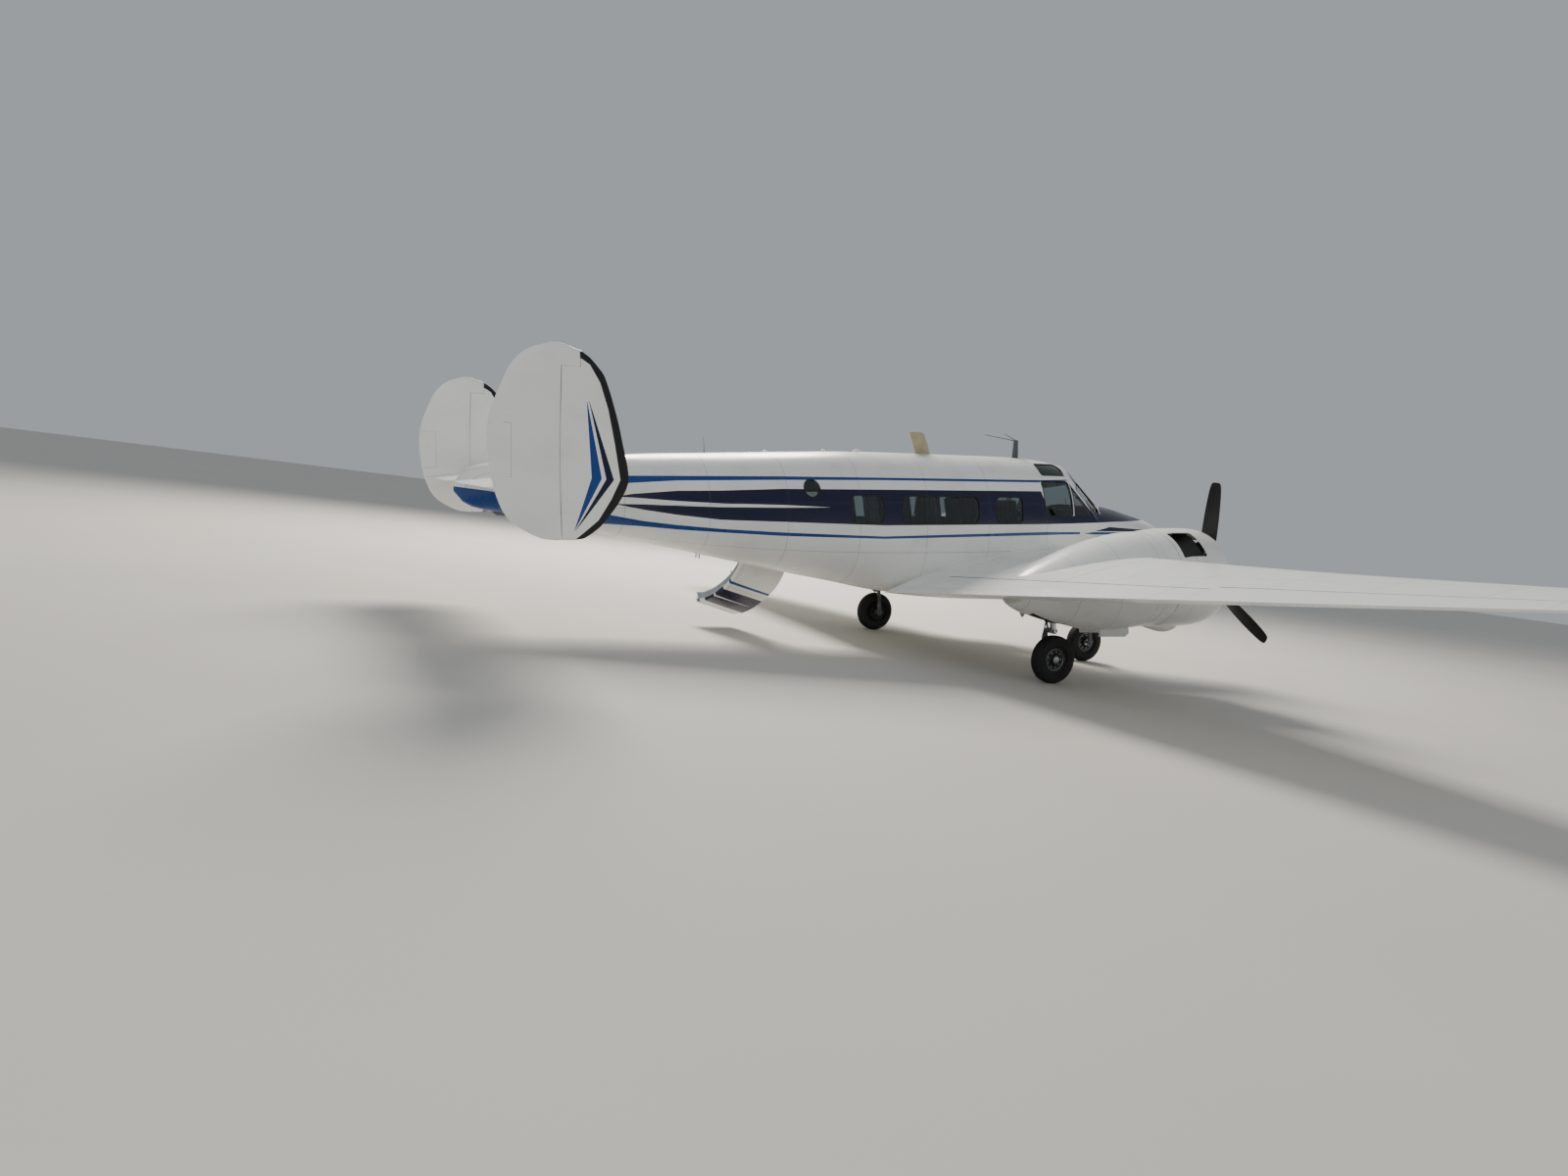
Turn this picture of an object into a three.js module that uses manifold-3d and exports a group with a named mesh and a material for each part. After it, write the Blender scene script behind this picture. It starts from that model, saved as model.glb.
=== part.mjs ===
// Twin-engine light aircraft on a tricycle landing gear, parked nose-up, with
// its airstair open. Millimetres, +X to the nose, +Y to port, +Z up, ground at
// z = 0. Stations (s) run aft from the nose tip along the airframe's own axis.
import * as THREE from "three";
import { mergeVertices } from "three/addons/utils/BufferGeometryUtils.js";
import Module from "manifold-3d";

const wasm = await Module();
wasm.setup();

// Dimensions.
const PITCH = 0.11; // nose-up attitude on its wheels, radians
const ORIGIN_X = 1305; // main wheels' contact line ahead of the bounding box's middle
const MAIN_S = 4210; // station of the main wheels' contact
const TRACK_HALF = 1970;
const WHEELBASE = 2337;
const WHEEL_R = 280;
const TYRE_W = 165;
const ENGINE_Z = 1189; // thrust line
const PROP_S = 1818;
const PROP_R = 1170;
const COWL_R = 600;
const GAP = 0.5; // between pieces that touch
const WALL = 40; // cabin wall, skin to lining
const TAIL_WALL = 14;

const X = (s) => MAIN_S - s;
// A point of the level ground frame (ahead of the main wheels, height) in airframe axes.
const fromGround = (x, z) => [
  x * Math.cos(PITCH) + z * Math.sin(PITCH),
  -x * Math.sin(PITCH) + z * Math.cos(PITCH),
];

// Helpers.
const V = (x, y, z) => new THREE.Vector3(x, y, z);
const deg = (a) => (a * Math.PI) / 180;

// A closed geometry as a solid, turned to face out if it faces in.
function solid(geometry) {
  const bare = new THREE.BufferGeometry().setAttribute(
    "position",
    (geometry.index ? geometry.toNonIndexed() : geometry).getAttribute("position"),
  );
  const merged = mergeVertices(bare, 1e-3);
  const index = merged.index.array;
  const faces = [];
  for (let i = 0; i < index.length; i += 3) {
    const [a, b, c] = [index[i], index[i + 1], index[i + 2]];
    if (a !== b && b !== c && a !== c) faces.push(a, b, c);
  }
  const make = (tri) =>
    new wasm.Manifold(
      new wasm.Mesh({
        numProp: 3,
        vertProperties: merged.attributes.position.array,
        triVerts: Uint32Array.from(tri),
      }),
    );
  const made = make(faces);
  if (made.volume() > 0) return made;
  for (let i = 0; i < faces.length; i += 3)
    [faces[i + 1], faces[i + 2]] = [faces[i + 2], faces[i + 1]];
  return make(faces);
}
const join = (...parts) => wasm.Manifold.union(parts.flat());
const cut = (a, ...parts) => wasm.Manifold.difference([a, ...parts.flat()]);
const meet = (a, b) => a.intersect(b);
// The largest of the bodies a cut leaves.
const main = (a) =>
  a.decompose().reduce((best, b) => (b.volume() > best.volume() ? b : best));
const flip = (a) => a.mirror([0, 1, 0]);

// A body through rings of equally many points, with flat ends.
function loft(rings) {
  const tri = [];
  const add = (...p) => p.forEach((q) => tri.push(q.x, q.y, q.z));
  for (let i = 1; i < rings.length; i++) {
    const [a, b] = [rings[i - 1], rings[i]];
    a.forEach((_, j) => {
      const k = (j + 1) % a.length;
      add(a[j], a[k], b[k]);
      add(a[j], b[k], b[j]);
    });
  }
  for (const [ring, back] of [
    [rings[0], true],
    [rings[rings.length - 1], false],
  ]) {
    const size = new THREE.Box3().setFromPoints(ring).getSize(V(0, 0, 0));
    const [u, v] = ["x", "y", "z"].sort((p, q) => size[q] - size[p]);
    const flat = ring.map((p) => new THREE.Vector2(p[u], p[v]));
    const clockwise = THREE.ShapeUtils.isClockWise(flat);
    const order = clockwise ? [...ring].reverse() : ring;
    const faces = THREE.ShapeUtils.triangulateShape(
      clockwise ? [...flat].reverse() : flat,
      [],
    );
    faces.forEach(([a, b, c]) => {
      const same = clockwise === back;
      if (same) add(order[a], order[b], order[c]);
      else add(order[a], order[c], order[b]);
    });
  }
  return solid(
    new THREE.BufferGeometry().setAttribute(
      "position",
      new THREE.Float32BufferAttribute(tri, 3),
    ),
  );
}

// A block between two stations, sides and heights.
function block(s0, s1, y0, y1, z0, z1) {
  const g = new THREE.BoxGeometry(Math.abs(s1 - s0), y1 - y0, z1 - z0);
  return solid(g.translate(X((s0 + s1) / 2), (y0 + y1) / 2, (z0 + z1) / 2));
}

// A side-view outline of [station, height] points, extruded across the aircraft.
function sidePrism(outline, y0, y1) {
  const shape = outline instanceof THREE.Shape
    ? outline
    : new THREE.Shape(outline.map(([s, z]) => new THREE.Vector2(X(s), z)));
  const g = new THREE.ExtrudeGeometry(shape, {
    depth: y1 - y0,
    bevelEnabled: false,
    curveSegments: 2,
  });
  return solid(g.rotateX(Math.PI / 2).translate(0, y1, 0));
}

// A window outline: a rectangle with round corners, in side view.
function pane(s0, s1, z0, z1, r, grow = 0) {
  const [a, b] = [X(s1) - grow, X(s0) + grow];
  const [c, d] = [z0 - grow, z1 + grow];
  const q = Math.max(r + grow, 1);
  const shape = new THREE.Shape();
  shape.moveTo(a + q, c);
  shape.absarc(b - q, c + q, q, -Math.PI / 2, 0, false);
  shape.absarc(b - q, d - q, q, 0, Math.PI / 2, false);
  shape.absarc(a + q, d - q, q, Math.PI / 2, Math.PI, false);
  shape.absarc(a + q, c + q, q, Math.PI, 1.5 * Math.PI, false);
  return shape;
}

// A round bar between two points, its end radii free.
function bar(from, to, r0, r1 = r0, sides = 14) {
  const [a, b] = [V(...from), V(...to)];
  const along = b.clone().sub(a);
  const g = new THREE.CylinderGeometry(r1, r0, along.length(), sides);
  g.applyQuaternion(
    new THREE.Quaternion().setFromUnitVectors(V(0, 1, 0), along.clone().normalize()),
  );
  const mid = a.add(b).multiplyScalar(0.5);
  return solid(g.translate(mid.x, mid.y, mid.z));
}

// A profile of [along, radius] points turned about an axis along X or Y.
function turned(profile, sides, centre, axis = "x") {
  const points = profile.map(([a, r]) => new THREE.Vector2(Math.max(r, 0), a));
  const closed = [...points, points[0]];
  const g = new THREE.LatheGeometry(closed, sides);
  if (axis === "x") g.rotateZ(-Math.PI / 2);
  return solid(g.translate(...centre));
}

// Smooth values between table rows: a cubic whose slopes come from the neighbours.
function along(rows, key, column, at) {
  const n = rows.length;
  if (at <= rows[0][key]) return rows[0][column];
  if (at >= rows[n - 1][key]) return rows[n - 1][column];
  const i = rows.findIndex((r) => r[key] > at) - 1;
  const slope = (k) => {
    const [p, q] = [rows[Math.max(k - 1, 0)], rows[Math.min(k + 1, n - 1)]];
    return (q[column] - p[column]) / (q[key] - p[key]);
  };
  const [a, b] = [rows[i], rows[i + 1]];
  const h = b[key] - a[key];
  const t = (at - a[key]) / h;
  return (
    a[column] * (1 + 2 * t) * (1 - t) ** 2 +
    h * slope(i) * t * (1 - t) ** 2 +
    b[column] * t * t * (3 - 2 * t) +
    h * slope(i + 1) * t * t * (t - 1)
  );
}
const table = (columns, rows) =>
  rows.map((r) => Object.fromEntries(columns.map((c, i) => [c, r[i]])));

// Fuselage.
// half: half width; wide: height of the widest line; up, down: how square the
// section is above and below it (2 is an ellipse).
const HULL = ["s", "half", "top", "bottom", "wide", "up", "down"];
const NOSE = table(HULL, [
  [0, 26, 1378, 1326, 1352, 2, 2],
  [60, 116, 1440, 1262, 1352, 2, 2],
  [200, 208, 1512, 1200, 1354, 2, 2],
  [420, 300, 1583, 1140, 1362, 2.05, 2.1],
  [680, 382, 1652, 1080, 1378, 2.1, 2.2],
  [1000, 462, 1776, 1015, 1410, 2.15, 2.3],
  [1340, 535, 1860, 950, 1460, 2.2, 2.4],
  [1790, 612, 1960, 885, 1540, 2.3, 2.5],
  [2400, 676, 2030, 838, 1600, 2.5, 2.6],
  [3400, 724, 2040, 820, 1640, 2.6, 2.6],
]);
const CABIN = table(HULL, [
  [1700, 598, 2010, 895, 1560, 2.0, 2.5],
  [1900, 628, 2150, 872, 1600, 2.0, 2.5],
  [2260, 664, 2375, 845, 1640, 2.1, 2.55],
  [2500, 684, 2488, 833, 1660, 2.2, 2.6],
  [2860, 706, 2562, 824, 1680, 2.3, 2.6],
  [3350, 723, 2602, 820, 1700, 2.35, 2.6],
  [4300, 727, 2612, 820, 1710, 2.35, 2.6],
  [5100, 725, 2614, 850, 1716, 2.35, 2.6],
  [5570, 720, 2614, 908, 1726, 2.35, 2.55],
  [6110, 709, 2606, 1022, 1750, 2.3, 2.5],
  [6750, 686, 2584, 1150, 1785, 2.25, 2.4],
  [7640, 632, 2548, 1338, 1850, 2.2, 2.3],
  [8300, 566, 2522, 1478, 1905, 2.15, 2.2],
  [8890, 480, 2490, 1600, 1960, 2.1, 2.1],
  [9500, 350, 2446, 1724, 2030, 2.05, 2.05],
  [10110, 208, 2376, 1852, 2090, 2, 2],
  [10420, 112, 2300, 1936, 2112, 2, 2],
  [10540, 24, 2160, 2070, 2116, 2, 2],
]);
const RING = 26;

function hullRing(rows, s, inset) {
  const at = (column) => along(rows, "s", column, s);
  const [half, top, bottom, wide] = [
    at("half") - inset,
    at("top") - inset,
    at("bottom") + inset,
    at("wide"),
  ];
  const [up, down] = [at("up"), at("down")];
  return Array.from({ length: RING }, (_, i) => {
    const a = (2 * Math.PI * (i + 0.5)) / RING;
    const [c, d] = [Math.cos(a), Math.sin(a)];
    const n = d > 0 ? up : down;
    const y = half * Math.sign(c) * Math.abs(c) ** (2 / n);
    const z = wide + (d > 0 ? top - wide : wide - bottom) * Math.sign(d) * Math.abs(d) ** (2 / n);
    return V(X(s), y, z);
  });
}
function hull(rows, from, to, inset = 0, step = 400) {
  const count = Math.max(1, Math.round((to - from) / step));
  const stations = Array.from({ length: count + 1 }, (_, i) => from + ((to - from) * i) / count);
  return loft(stations.map((s) => hullRing(rows, s, inset)));
}

// The windscreen is two flat panes that meet at a centre post: each lies in a plane
// through the post's foot and head and the outer foot.
const POST_FOOT = [1790, 0, 1960];
const POST_HEAD = [2260, 0, 2360];
const OUTER_FOOT = [2370, -600, 1860];
const toV = ([s, y, z]) => V(X(s), y, z);
const screenNormal = toV(POST_HEAD)
  .sub(toV(POST_FOOT))
  .cross(toV(OUTER_FOOT).sub(toV(POST_FOOT)))
  .normalize();
if (screenNormal.z < 0) screenNormal.negate();
const screenOut = screenNormal.dot(toV(POST_FOOT));
// Everything behind the windscreen's planes, set in by a depth.
const behindScreen = (a, depth = 0) => {
  const n = screenNormal;
  return a
    .trimByPlane([-n.x, -n.y, -n.z], -(screenOut - depth))
    .trimByPlane([-n.x, n.y, -n.z], -(screenOut - depth));
};

const NOSE_END = 1600;
const COCKPIT_END = 3400;
const CABIN_END = 7800;
const TAIL_END = 10540;
const deckHull = (inset) => hull(NOSE, NOSE_END - 60, 3000 - inset, inset, 460);
const canopyHull = (inset) => behindScreen(hull(CABIN, 1720, COCKPIT_END + 60, inset, 350), inset);
const noseSolid = hull(NOSE, 200, NOSE_END, 0, 280);
const noseTip = loft([0, 22, 60, 120, 200].map((s) => hullRing(NOSE, s, 0)));
const cockpitOuter = join(deckHull(0), canopyHull(0));
const cockpitInner = join(deckHull(WALL), canopyHull(WALL));
const cabinHull = (inset) => hull(CABIN, COCKPIT_END - 50, CABIN_END + 50, inset, 560);
const cabinOuter = cabinHull(0)
  .trimByPlane([-1, 0, 0], -X(COCKPIT_END + GAP))
  .trimByPlane([1, 0, 0], X(CABIN_END));
const cabinInner = cabinHull(WALL);
const tailOuter = hull(CABIN, CABIN_END + GAP, TAIL_END, 0, 390);
const tailInner = hull(CABIN, CABIN_END - 50, 10300, TAIL_WALL, 640);
const wholeHull = join(
  deckHull(-0.9), canopyHull(-0.9), cabinHull(-0.9),
);

// Windows, all in side view: stations, heights and corner radius.
const WINDOWS = table(["s0", "s1", "z0", "z1", "r"], [
  [3680, 4110, 1772, 2100, 70],
  [4370, 5500, 1772, 2100, 80],
  [5760, 6200, 1772, 2100, 70],
]);
const PORTHOLE = { s0: 6590, s1: 6790, z0: 2070, z1: 2270, r: 99 };
const SIDE_WINDOW = { s0: 2835, s1: 3320, z0: 1865, z1: 2310, r: 40 };
const QUARTER = [
  [2440, 1872],
  [2805, 1872],
  [2805, 2262],
];
const EYEBROW = { s0: 2810, s1: 3260, z0: 2385, z1: 2530, r: 30 };
const paneOf = (w, grow) => pane(w.s0, w.s1, w.z0, w.z1, w.r, grow);

// Airstair: the door's outline in side view follows the belly at its sill.
const DOOR = [
  [6420, 1196],
  [7050, 1322],
  [7050, 2330],
  [6995, 2385],
  [6475, 2385],
  [6420, 2330],
];
const HINGE_A = [6420, 470, 1196];
const HINGE_B = [7050, 449, 1322];
const hingeA = toV(HINGE_A);
const hingeB = toV(HINGE_B);
const hingeWay = hingeB.clone().sub(hingeA).normalize();
const DOOR_OPEN = 132; // degrees from closed
const DOOR_GAP = 8;

const grownOutline = (points, by) => {
  const c = points.reduce((p, q) => [p[0] + q[0] / points.length, p[1] + q[1] / points.length], [0, 0]);
  return points.map(([s, z]) => [s + Math.sign(s - c[0]) * by, z + Math.sign(z - c[1]) * by]);
};
const doorHole = sidePrism(DOOR, 60, 1200);
const doorPrism = sidePrism(grownOutline(DOOR, -DOOR_GAP), 60, 1200);

const parts = new Map(); // name: [solid, material]
const put = (name, body, material, near = 0.3) => parts.set(name, [body.simplify(near), material]);

// Wing and tail.
// Half thickness of an aerofoil at chord fraction x, for a thickness of 1.
const foilHalf = (x) =>
  5 * (0.2969 * Math.sqrt(x) - 0.126 * x - 0.3516 * x * x + 0.2843 * x ** 3 - 0.1036 * x ** 4);
// A point on an aerofoil's upper (side 1) or lower (-1) surface. The trailing edge is at
// te = [station, y, height]; the chord runs forward, tilted up by the incidence.
function foilPoint({ te, chord, thick, incidence = 0, camber = 1, grow = 0, axis = "y" }, x, side) {
  const m = 0.2025;
  const k = (15.957 / 6) * camber;
  const half = foilHalf(x) * thick * chord + 2 * x + (x > 0 ? grow : 0);
  const line = x < m ? k * (x ** 3 - 3 * m * x * x + m * m * (3 - m) * x) : k * m ** 3 * (1 - x);
  const forward = (1 - x) * (chord + 2 * grow) - grow;
  const height = line * chord + side * half;
  const [c, d] = [Math.cos(deg(incidence)), Math.sin(deg(incidence))];
  const [f, h] = [forward * c - height * d, forward * d + height * c];
  const [s, y, z] = te;
  return axis === "y" ? V(X(s) + f, y, z + h) : V(X(s) + f, y + h, z);
}
const FOIL = 8;
function foilRing(spec) {
  const at = (i) => (1 + Math.cos((Math.PI * i) / FOIL)) / 2;
  const upper = Array.from({ length: FOIL + 1 }, (_, i) => foilPoint(spec, at(i), 1));
  const lower = Array.from({ length: FOIL }, (_, i) => foilPoint(spec, at(FOIL - 1 - i), -1));
  return [...upper, ...lower];
}
// The hollow inside an aerofoil between two chord fractions, a skin's thickness in.
function coreRing(spec, x0, x1, skin, count = 4) {
  const inner = { ...spec, grow: -skin };
  const at = (i) => x0 + ((x1 - x0) * i) / (count - 1);
  const side = (n) => Array.from({ length: count }, (_, i) => foilPoint(inner, at(i), n));
  return [...side(1), ...side(-1).reverse()];
}

const SPAN_HALF = 7570;
const ROOT_CHORD = 3360;
const TIP_CHORD = 1070;
const DIHEDRAL = Math.tan(deg(6));
// aft: how far the root fillet carries the trailing edge back; swell: how much it thickens the root.
const WING = table(["y", "aft", "swell", "fit"], [
  [280, 120, 1.42, 1],
  [500, 100, 1.4, 1],
  [600, 60, 1.26, 1],
  [690, 30, 1.13, 1],
  [790, 10, 1.05, 1],
  [920, 0, 1, 1],
  [2600, 0, 1, 1],
  [4900, 0, 1, 1],
  [7250, 0, 1, 1],
  [7500, 0, 0.86, 0.9],
  [7562, 0, 0.55, 0.74],
  [SPAN_HALF, 0, 0.3, 0.66],
]);
const chordAt = (y) => ROOT_CHORD - ((ROOT_CHORD - TIP_CHORD) * y) / SPAN_HALF;
const teAt = (y) => [5680 - 0.12 * y, y, 870 + DIHEDRAL * y];
const thickAt = (y) => 0.2 - (0.08 * y) / SPAN_HALF;
const twistAt = (y) => 4 - (4 * y) / SPAN_HALF;
function wingSpec({ y, aft, swell, fit }, grow = 0) {
  const chord = chordAt(y);
  const [s, , z] = teAt(y);
  return {
    te: [s + aft - 0.55 * chord * (1 - fit), y, z + 0.55 * chord * (1 - fit) * Math.sin(deg(twistAt(y)))],
    chord: chord * fit + aft,
    thick: (thickAt(y) * swell * chord) / (chord * fit + aft),
    incidence: twistAt(y),
    grow,
  };
}
const wingLoft = (grow = 0) => loft(WING.map((row) => foilRing(wingSpec(row, grow))));
const wingCore = (ys, x0, x1, skin, count) =>
  loft(ys.map((y) => coreRing(wingSpec({ y, aft: 0, swell: 1, fit: 1 }), x0, x1, skin, count)));
const wing = wingLoft();
const wingGrown = wingLoft(GAP);

// A hinged surface at the wing's trailing edge: what lies behind a line from
// one hinge point to the other, with a round nose about that line.
const SQUARE_OVER = 80;
function hinged(body, a, b, noseA, noseB, gap, ends = 6) {
  const [p, q] = [V(...a), V(...b)];
  const way = q.clone().sub(p).normalize();
  const stretch = (from, to, n0, n1, aft) => {
    const nose = bar(from.toArray(), to.toArray(), n0, n1, 26);
    const deep = 1400;
    const quad = (at, r) => [
      V(at.x, at.y, at.z - r), V(at.x, at.y, at.z + r),
      V(at.x - deep, at.y, at.z + 400), V(at.x - deep, at.y, at.z - 400),
    ];
    return join(nose, loft([quad(from, n0 * aft), quad(to, n1 * aft)]));
  };
  // Both ends are square to the hinge, so that the surface turns between them freely.
  const span = p.distanceTo(q);
  const past = (noseB - noseA) * (SQUARE_OVER / span);
  const out = way.clone().multiplyScalar(SQUARE_OVER);
  const long = (grow) =>
    stretch(p.clone().sub(out), q.clone().add(out), noseA + grow - past, noseB + grow + past, 1);
  const n = way.toArray();
  const between = (a, inset) =>
    a.trimByPlane(n, p.dot(way) + inset).trimByPlane(n.map((v) => -v), -q.dot(way) + inset);
  return [main(meet(body, between(long(0), ends))), between(long(gap), 0)];
}
// A point of the wing at span y and chord fraction x from the nose, height over the chord line.
const wingPoint = (y, x, up = 0) => {
  const [s, , z] = teAt(y);
  const f = (1 - x) * chordAt(y);
  return [X(s) + f * Math.cos(deg(twistAt(y))), y, z + f * Math.sin(deg(twistAt(y))) + up];
};

const JOINT_Y = 2700; // where the outer panel bolts to the centre section
const FLAP_Y = [960, 4560];
const AILERON_Y = [4600, 7240];
const FLAP_X = 0.8;
const AILERON_X = 0.76;
const noseRadius = (y, x) => {
  return foilHalf(x) * thickAt(y) * chordAt(y) * 1.02 + 2;
};
const flapHinge = FLAP_Y.map((y) => wingPoint(y, FLAP_X, 8));
const aileronHinge = AILERON_Y.map((y) => wingPoint(y, AILERON_X, 8));
const [flap, flapHole] = hinged(
  wing, flapHinge[0], flapHinge[1],
  noseRadius(FLAP_Y[0], FLAP_X), noseRadius(FLAP_Y[1], FLAP_X), 9,
);
const [aileron, aileronHole] = hinged(
  wing, aileronHinge[0], aileronHinge[1],
  noseRadius(AILERON_Y[0], AILERON_X), noseRadius(AILERON_Y[1], AILERON_X), 9,
);
// Hinge brackets on the wing's rear spar reach the round noses of flap and aileron.
function bracketAt(y, [y0, y1], hinge, x) {
  const t = (y - y0) / (y1 - y0);
  const mix = (p, q) => p + (q - p) * t;
  const nose = mix(noseRadius(y0, x), noseRadius(y1, x));
  const [px, pz] = [0, 2].map((k) => mix(hinge[0][k], hinge[1][k]));
  const s = MAIN_S - px - nose;
  return block(s - 40, s - 0.85, y - 8, y + 8, pz - 8, pz + 8);
}
const wingBrackets = [
  ...[1200, 2500, 2900, 4400].map((y) => bracketAt(y, FLAP_Y, flapHinge, FLAP_X)),
  ...[4800, 7000].map((y) => bracketAt(y, AILERON_Y, aileronHinge, AILERON_X)),
];
const WING_SKIN = 16;
const fixedWing = join(
  cut(
    wing, flapHole, aileronHole,
    wingCore([980, JOINT_Y + 20], 0.2, 0.74, WING_SKIN),
    wingCore([JOINT_Y - 20, 6950], 0.07, 0.69, WING_SKIN),
  ),
  ...wingBrackets,
);

// Engine nacelle.
const NACELLE = table(HULL, [
  [2790, 548, 1737, 641, 1189, 2, 2],
  [2880, 560, 1752, 628, 1188, 2, 2.05],
  [3240, 556, 1738, 606, 1185, 2, 2.2],
  [3620, 528, 1672, 606, 1176, 2, 2.3],
  [3960, 484, 1578, 640, 1160, 2, 2.3],
  [4300, 420, 1452, 716, 1140, 2, 2.2],
  [4600, 330, 1333, 812, 1118, 2, 2.1],
  [4800, 230, 1228, 900, 1104, 2, 2],
  [4890, 130, 1195, 968, 1100, 2, 2],
  [4925, 50, 1150, 1040, 1098, 2, 2],
]);
const shiftY = (a, y) => a.translate([0, y, 0]);
const WELL = { s0: 3420, s1: 4640, half: 150 };
const cowlSpace = turned(
  [[X(1900), 0], [X(1900), COWL_R + 6], [X(2812), COWL_R + 6], [X(2812), 0]],
  36, [0, TRACK_HALF, ENGINE_Z],
);
const nacelleRaw = shiftY(hull(NACELLE, 2790, 4925, 0, 267), TRACK_HALF);
const well = block(WELL.s0, WELL.s1, TRACK_HALF - WELL.half, TRACK_HALF + WELL.half, 300, 1100);
// A door hangs along each side of the wheel well.
const wellDoor = (side) =>
  sidePrism(
    [[3200, 640], [3650, 640], [3640, 540], [3245, 520], [3190, 560]],
    TRACK_HALF + side * WELL.half - (side > 0 ? 0 : 22),
    TRACK_HALF + side * WELL.half + (side > 0 ? 22 : 0),
  );
// The nacelle is whole ahead of this station; behind it the wing runs through.
const SPAR_S = 3060;
// The lowered flap turns past the nacelle's tail: the tail ends on a line at the
// flap's full angle, that touches a circle a little larger than the flap's nose.
const FLAP_DOWN = 45;
const FLAP_ROOM = 12;
const flapRoom = loft(
  [1400, 2600].map((y) => {
    const t = (y - FLAP_Y[0]) / (FLAP_Y[1] - FLAP_Y[0]);
    const [x, z] = [0, 2].map((k) => flapHinge[0][k] + (flapHinge[1][k] - flapHinge[0][k]) * t);
    const r = (noseRadius(y, FLAP_X) + FLAP_ROOM) * Math.sin(deg(FLAP_DOWN));
    return [V(x, y, z), V(x + r, y, z - r), V(x + r - 900, y, z - r - 900), V(x - 900, y, z)];
  }),
);
const nacelle = main(
  cut(
    join(nacelleRaw, wellDoor(1), wellDoor(-1)), well, flapRoom, flapHole,
    wingGrown.trimByPlane([-1, 0, 0], -X(SPAR_S - GAP)),
  ),
);
const nacelleNose = shiftY(hull(NACELLE, 2790, 4925, -GAP, 267), TRACK_HALF)
  .trimByPlane([1, 0, 0], X(SPAR_S));

const cowlProfile = [
  [-1962, 452], [-1951, 478], [-1968, 522], [-2010, 556], [-2100, 586],
  [-2300, COWL_R], [-2620, COWL_R], [-2800, 584],
  [-2800, 572], [-2300, 588], [-2110, 572], [-2016, 536], [-1984, 478],
];
const cowlRing = turned(
  cowlProfile.map(([a, r]) => [a + MAIN_S, r]), 24, [0, TRACK_HALF, ENGINE_Z],
);
// The starboard cowling's upper outboard hatch stands open.
const hatch = shiftY(
  block(2370, 2744, 205, 515, 280, 700).translate([0, 0, ENGINE_Z]), TRACK_HALF,
);

// Nine air-cooled cylinders around a crankcase, with the reduction case in front.
function radialEngine() {
  const centre = [0, TRACK_HALF, ENGINE_Z];
  const core = turned(
    [
      [X(1923.4), 0], [X(1923.4), 70], [X(1975), 120], [X(2040), 150], [X(2085), 214],
      [X(2150), 232], [X(2345), 232], [X(2350), 545], [X(2590), 545], [X(2620), 330],
      [X(2789.5), 300], [X(2789.5), 0],
    ],
    14, centre,
  );
  const cylinders = Array.from({ length: 9 }, (_, i) => {
    const a = deg(40 * i);
    const out = (r, s) => [X(s), TRACK_HALF + r * Math.sin(a), ENGINE_Z + r * Math.cos(a)];
    return join(
      bar(out(180, 2300), out(556, 2300), 88, 70, 7),
    );
  });
  // The cowling is carried on the baffles, above and below.
  const carriers = [[500, 581], [-581, -500]].map(([low, high]) =>
    block(2400, 2450, TRACK_HALF - 14, TRACK_HALF + 14, ENGINE_Z + low, ENGINE_Z + high),
  );
  return join(core, ...cylinders, ...carriers);
}

// Blades: radius, chord, thickness and pitch of each section, upright at angle 0.
const BLADE = table(["r", "chord", "thick", "pitch"], [
  [60, 84, 84, 62],
  [150, 88, 80, 58],
  [250, 140, 44, 42],
  [450, 184, 27, 28],
  [800, 186, 16, 16],
  [1060, 156, 11, 12],
  [1140, 126, 8, 11],
  [PROP_R, 70, 5, 11],
]);
function bladeSolid(angle) {
  const rings = BLADE.map(({ r, chord, thick, pitch }) =>
    Array.from({ length: 8 }, (_, i) => {
      const a = (2 * Math.PI * i) / 8;
      const [u, v] = [(chord / 2) * Math.cos(a), (thick / 2) * Math.sin(a)];
      const [c, d] = [Math.cos(deg(pitch)), Math.sin(deg(pitch))];
      return V(u * d - v * c, -u * c - v * d, r);
    }),
  );
  return loft(rings).rotate([angle, 0, 0]);
}
function propeller(first) {
  const hub = turned(
    [
      [-105, 0], [-105, 82], [-60, 96], [58, 96], [74, 70], [170, 62], [200, 42], [206, 0],
    ],
    14, [0, 0, 0],
  );
  const barrels = [0, 120, 240].map((a) =>
    bar([0, 0, 0], [0, 0, 150], 60, 56, 10).rotate([first + a, 0, 0]),
  );
  const blades = [0, 120, 240].map((a) => bladeSolid(first + a));
  return join(hub, ...barrels, ...blades);
}
const placeProp = (body, side) => body.translate([X(PROP_S), side * TRACK_HALF, ENGINE_Z]);

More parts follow.
